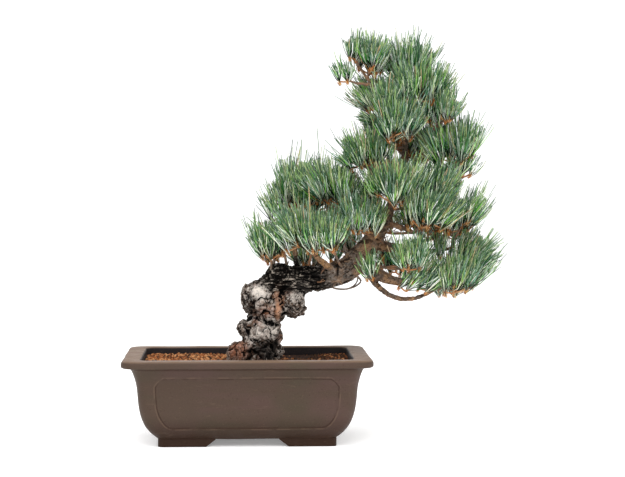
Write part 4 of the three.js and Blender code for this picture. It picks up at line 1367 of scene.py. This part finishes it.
# The bud scales
# Papery orange-brown scales wrap the foot of each shoot, where the bundles of needles spring.
SCALES_ON_SHOOT = 18
SCALE_LENGTH = 3.8
SCALE_WIDTH = 0.8
SCALES_FROM = -4.5
SCALED_SHARE = 0.16
SHOOT_RADIUS = 0.9
SCALE_FACES = np.array([(0, 1, 3), (1, 2, 3), (2, 0, 3), (0, 2, 1)])
scale_random = np.random.default_rng(31)
scale_corners = []
for _, _, _, head, heading, length in shoots:
    side, other = across_axis(heading, SHOOT_SLANT)
    for k in range(SCALES_ON_SHOOT):
        angle = k * GOLDEN_ANGLE
        aside = math.cos(angle) * side + math.sin(angle) * other
        round_shoot = np.cross(heading, aside)
        up_shoot = k / SCALES_ON_SHOOT * SCALED_SHARE * length + SCALES_FROM
        foot = head + heading * up_shoot + aside * SHOOT_RADIUS
        tip = foot + (heading + aside * scale_random.uniform(0.25, 0.7)) * SCALE_LENGTH
        wide = round_shoot * SCALE_WIDTH * scale_random.uniform(0.7, 1.2)
        scale_corners.append(np.array([foot - wide, foot + wide, foot + aside * 0.5, tip]))
scales = joined_piece("bud_scales", scale_corners, [SCALE_FACES] * len(scale_corners))
SCALE_TONES = (linear(208, 136, 72), linear(176, 112, 64), linear(224, 180, 124))
for i, colour in enumerate(SCALE_TONES):
    husk, _, _ = new_material("bud_scale_%d" % i, colour, 0.7)
    scales.data.materials.append(husk)
dealt = scale_random.integers(0, len(SCALE_TONES), len(scale_corners)).astype(np.int32)
scales.data.polygons.foreach_set("material_index", np.repeat(dealt, len(SCALE_FACES)))
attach(scales, "root")

# The needles
# Bundles of five slim needles, dark green outside and chalky on the inner faces, which are
# whitened further as painted highlight, and darkened at their feet as painted shade deep in the
# tuft. They stand round each shoot like a brush, steep at its head and spread at its foot, where
# they curve back up.
BUNDLES_ON_SHOOT = 18
NEEDLES_IN_BUNDLE = 5
BUNDLE_OPENING = 0.19
BUNDLE_STAND_OFF = 0.8
SPARSE_MASSES = {
    "low_hollow": 0.65, "left_edge": 0.7, "apex_left": 0.8,
    "right_sprig": 0.45, "low_sweep": 0.8, "right_under": 0.75,
}
BACK_SHARE = 0.6
NEEDLE_RADIUS = 0.45
STEEPEST = 0.04
WIDEST = 0.92
CURVED_BACK = 0.42
NEEDLE_RINGS = ((0, 0.9), (0.38, 1.0), (0.74, 0.95), (1, 0.7))
TUFT_LIMIT = 0.8
SPACE_MARGIN = -9.0
WOOD_MARGIN = 1.1
LONG_BUNDLES = 0.05
# Each tone's foot, blade, inner and tip colours. The foot colours are painted shade, darker than
# the needles are, and the inner colours are the chalky bands lightened further as painted
# highlight.
NEEDLE_TONES = {
    "needles_deep": ((3, 15, 6), (24, 74, 38), (200, 222, 198), (52, 80, 56)),
    "needles_mid": ((6, 32, 10), (54, 118, 52), (232, 246, 224), (82, 116, 74)),
    "needles_grey": ((18, 44, 28), (104, 152, 124), (252, 254, 250), (122, 146, 126)),
    "needles_fresh": ((24, 64, 16), (122, 186, 74), (246, 254, 220), (140, 170, 104)),
    "needles_olive": ((54, 68, 28), (150, 172, 98), (242, 244, 216), (148, 158, 112)),
    "needles_straw": ((122, 94, 54), (188, 160, 108), (214, 196, 152), (178, 152, 116)),
}
TONE_SHARES = np.array((0.26, 0.28, 0.14, 0.2, 0.1, 0.02))
MAIN_TONE_SHARE = 0.22
needle_random = np.random.default_rng(5)
tuft_lines = []
for name, mass in grown.items():
    for base, axis, length, _ in mass["tufts"]:
        tuft_lines.append((name, base - axis * 5.5, base + axis * 0.9 * length))


def distance_to_line(points, a, b):
    along = b - a
    share = np.clip(((points - a) @ along) / (along @ along), 0, 1)
    return np.linalg.norm(points - a - share[:, None] * along, axis=1)


def keeps_to_space(tips, own):
    """True for tips in their own mass's space, or within a few millimetres of it."""
    mine = np.full(len(tips), FAR_AWAY)
    other = np.full(len(tips), FAR_AWAY)
    for name, a, b in tuft_lines:
        apart = distance_to_line(tips, a, b)
        if name == own:
            mine = np.minimum(mine, apart)
        else:
            other = np.minimum(other, apart)
    return other - mine > SPACE_MARGIN


def clear_of_wood(points):
    """True for points outside the trunk."""
    share, apart = nearest_on_trunk(points)
    return apart > trunk_radius(share) * WOOD_MARGIN


# Needles end where the solids' reach does, or a few millimetres past it, and short of the places
# where sky shows through the crown or cuts into its outline, as they are seen from the camera.
# Each place is its middle's x and z, and its half width and height, on the upright plane through
# the pot's middle.
PAST_THE_SOLIDS = np.array((8.0, 4.5, 7.0))
SHORTEST_WITHIN = 0.2
HARDLY_ANY = 0.01
SKY = np.array((
    (20, 259, 8, 11), (4, 217, 7, 9), (-4, 238, 6, 10), (161, 331, 6, 9), (194, 343, 6, 8),
    (105, 416, 10, 10), (132, 430, 4, 10), (161, 425, 5, 9), (115, 466, 5, 10), (204, 463, 5, 10),
    (218, 457, 7, 11), (247, 396, 9, 11), (278, 339, 11, 15), (261, 306, 13, 15), (250, 283, 6, 9),
    (277, 241, 8, 13), (284, 184, 13, 9), (21, 190, 6, 7), (104, 334, 8, 10), (26, 302, 7, 9),
    (285, 235, 7, 8), (66, 326, 7, 8),
), float)
SKY_EDGE = (0.3, 1.25)
SHORTER_STEPS = (1, 0.96, 0.92, 0.88, 0.84, 0.8, 0.76, 0.72)
trim_random = np.random.default_rng(9)
solids_low, solids_high = ((np.array(corner) - np.array(at(0, 0, 0))) * 1000 for corner in cad_box)


def share_within_reach(foot, run):
    """How much of each needle's run keeps to the solids' reach, or to a little past it."""
    past = PAST_THE_SOLIDS * trim_random.uniform(0, 1, foot.shape)
    limit = np.where(run > 0, solids_high + past, solids_low - past)
    length = np.abs(run)
    shares = (limit - foot) / np.where(length < HARDLY_ANY, HARDLY_ANY, length) * np.sign(run)
    return np.clip(shares.min(axis=1), SHORTEST_WITHIN, 1)


def in_the_sky(points, softness):
    """True for points that the camera sees in one of the places of sky, whose edges are soft."""
    eye = np.array(CAMERA_PLACE)
    from_eye = points - eye
    seen = eye + from_eye * (-eye[1] / from_eye[:, 1])[:, None]
    away = (seen[:, None, (0, 2)] - SKY[None, :, :2]) / SKY[None, :, 2:]
    return ((away**2).sum(2) < softness[:, None]).any(1)


def share_short_of_sky(foot, run):
    """How much of each needle's run ends short of the sky, or 0 where none of it does."""
    share = np.zeros(len(foot))
    softness = trim_random.uniform(*SKY_EDGE, len(foot))
    for step in SHORTER_STEPS[::-1]:
        middle = foot + run * step * 0.75
        clear = ~in_the_sky(foot + run * step, softness) & ~in_the_sky(middle, softness * 0.7)
        share[clear] = step
    return share


def needles_of_shoot(own, base, axis, head, heading, length):
    """The corner arrays of a shoot's needles: four rings of three for each."""
    dense = BACK_SHARE if own.endswith("_back") else SPARSE_MASSES.get(own, 1)
    bundles = int(BUNDLES_ON_SHOOT * dense * needle_random.uniform(0.8, 1.15))
    side, other = across_axis(heading, SHOOT_SLANT)
    down_shoot = needle_random.uniform(0, 1, bundles)
    lean = between(STEEPEST, WIDEST, down_shoot**0.8) * needle_random.uniform(0.6, 1.2, bundles)
    angle = np.arange(bundles) * GOLDEN_ANGLE + needle_random.uniform(-0.5, 0.5, bundles)
    aside = np.cos(angle)[:, None] * side + np.sin(angle)[:, None] * other
    up_shoot = SHOOT_SHARE * length * (HEAD_SHARE - down_shoot)
    foot = head + heading * up_shoot[:, None] + aside * BUNDLE_STAND_OFF
    long = length * needle_random.uniform(0.62, 1.0, bundles) * between(1, 0.92, down_shoot)
    long[needle_random.random(bundles) < LONG_BUNDLES] *= needle_random.uniform(1.0, 1.08)

    in_bundle = (np.repeat(v, NEEDLES_IN_BUNDLE, axis=0) for v in (lean, aside, foot, long))
    lean, aside, foot, long = in_bundle
    count = len(lean)
    long = long * needle_random.uniform(0.88, 1.0, count)
    opened = needle_random.normal(0, BUNDLE_OPENING, (count, 3))
    starting = np.cos(lean)[:, None] * heading + np.sin(lean)[:, None] * aside + opened
    risen = lean * CURVED_BACK
    ending = np.cos(risen)[:, None] * heading + np.sin(risen)[:, None] * aside + opened
    from_base = foot - base
    ahead = np.einsum("ij,ij->i", from_base, ending)
    inner = ahead**2 - (from_base**2).sum(1) + long**2
    reach = np.sqrt(np.maximum(inner, 1)) - ahead
    reach *= share_within_reach(foot, ending * reach[:, None])
    short = share_short_of_sky(foot, ending * reach[:, None])
    reach *= np.maximum(short, SHORTER_STEPS[-1])
    bend = foot + starting * (reach * 0.5)[:, None]
    tip = foot + ending * reach[:, None]
    to_tip = tip - base
    off_axis = np.arccos(np.clip(to_tip @ axis / np.linalg.norm(to_tip, axis=1), -1, 1))
    keep = keeps_to_space(tip, own) & clear_of_wood(tip) & clear_of_wood(bend)
    keep &= (off_axis < TUFT_LIMIT) & (short > 0)
    foot, bend, tip, along = foot[keep], bend[keep], tip[keep], ending[keep]
    across = np.cross(along, needle_random.normal(size=along.shape))
    across /= np.linalg.norm(across, axis=1)[:, None]
    ring = round_line(across, np.cross(along, across), 3)
    rings = []
    for t, share in NEEDLE_RINGS:
        place = bend_point(foot, bend, tip, t)
        rings.append(place[:, None] + ring * NEEDLE_RADIUS * share)
    return np.concatenate(rings, axis=1)


# A needle's faces, and which of its four colours each has: foot, blade, inner face or tip. The
# foot's colour is painted shade, and the inner face's is partly painted highlight.
NEEDLE_FACES = [(0, 2, 1), (9, 10, 11)]
NEEDLE_PARTS = [0, 3]
for k in range(3):
    j = (k + 1) % 3
    for low, part in ((0, 0), (3, 1), (6, 3)):
        NEEDLE_FACES += [(low + k, low + j, low + j + 3), (low + k, low + j + 3, low + k + 3)]
        NEEDLE_PARTS += [2 if k == 2 and low < 6 else part] * 2
NEEDLE_FACES = np.array(NEEDLE_FACES)

needle_lists = {tone: [] for tone in NEEDLE_TONES}
for own, base, axis, head, heading, length in shoots:
    corners = needles_of_shoot(own, base, axis, head, heading, length)
    main = needle_random.choice(len(NEEDLE_TONES) - 1, p=TONE_SHARES[:-1] / TONE_SHARES[:-1].sum())
    shares_here = TONE_SHARES * (1 - MAIN_TONE_SHARE)
    shares_here[main] += MAIN_TONE_SHARE
    dealt = needle_random.choice(len(NEEDLE_TONES), size=len(corners), p=shares_here)
    for i, tone in enumerate(NEEDLE_TONES):
        needle_lists[tone].append(corners[dealt == i])
for tone, part_colours in NEEDLE_TONES.items():
    corners = np.concatenate(needle_lists[tone])
    piece = joined_piece(tone, list(corners), [NEEDLE_FACES] * len(corners))
    for part, colour in zip(("_foot", "_blade", "_inner", "_tip"), part_colours):
        leaf, _, _ = new_material(tone + part, linear(*colour), 0.42, specular=0.32)
        piece.data.materials.append(leaf)
    parts = np.tile(np.array(NEEDLE_PARTS, np.int32), len(corners))
    piece.data.polygons.foreach_set("material_index", parts)
    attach(piece, "root")
    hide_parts(*["foliage_" + name for name in MASSES])
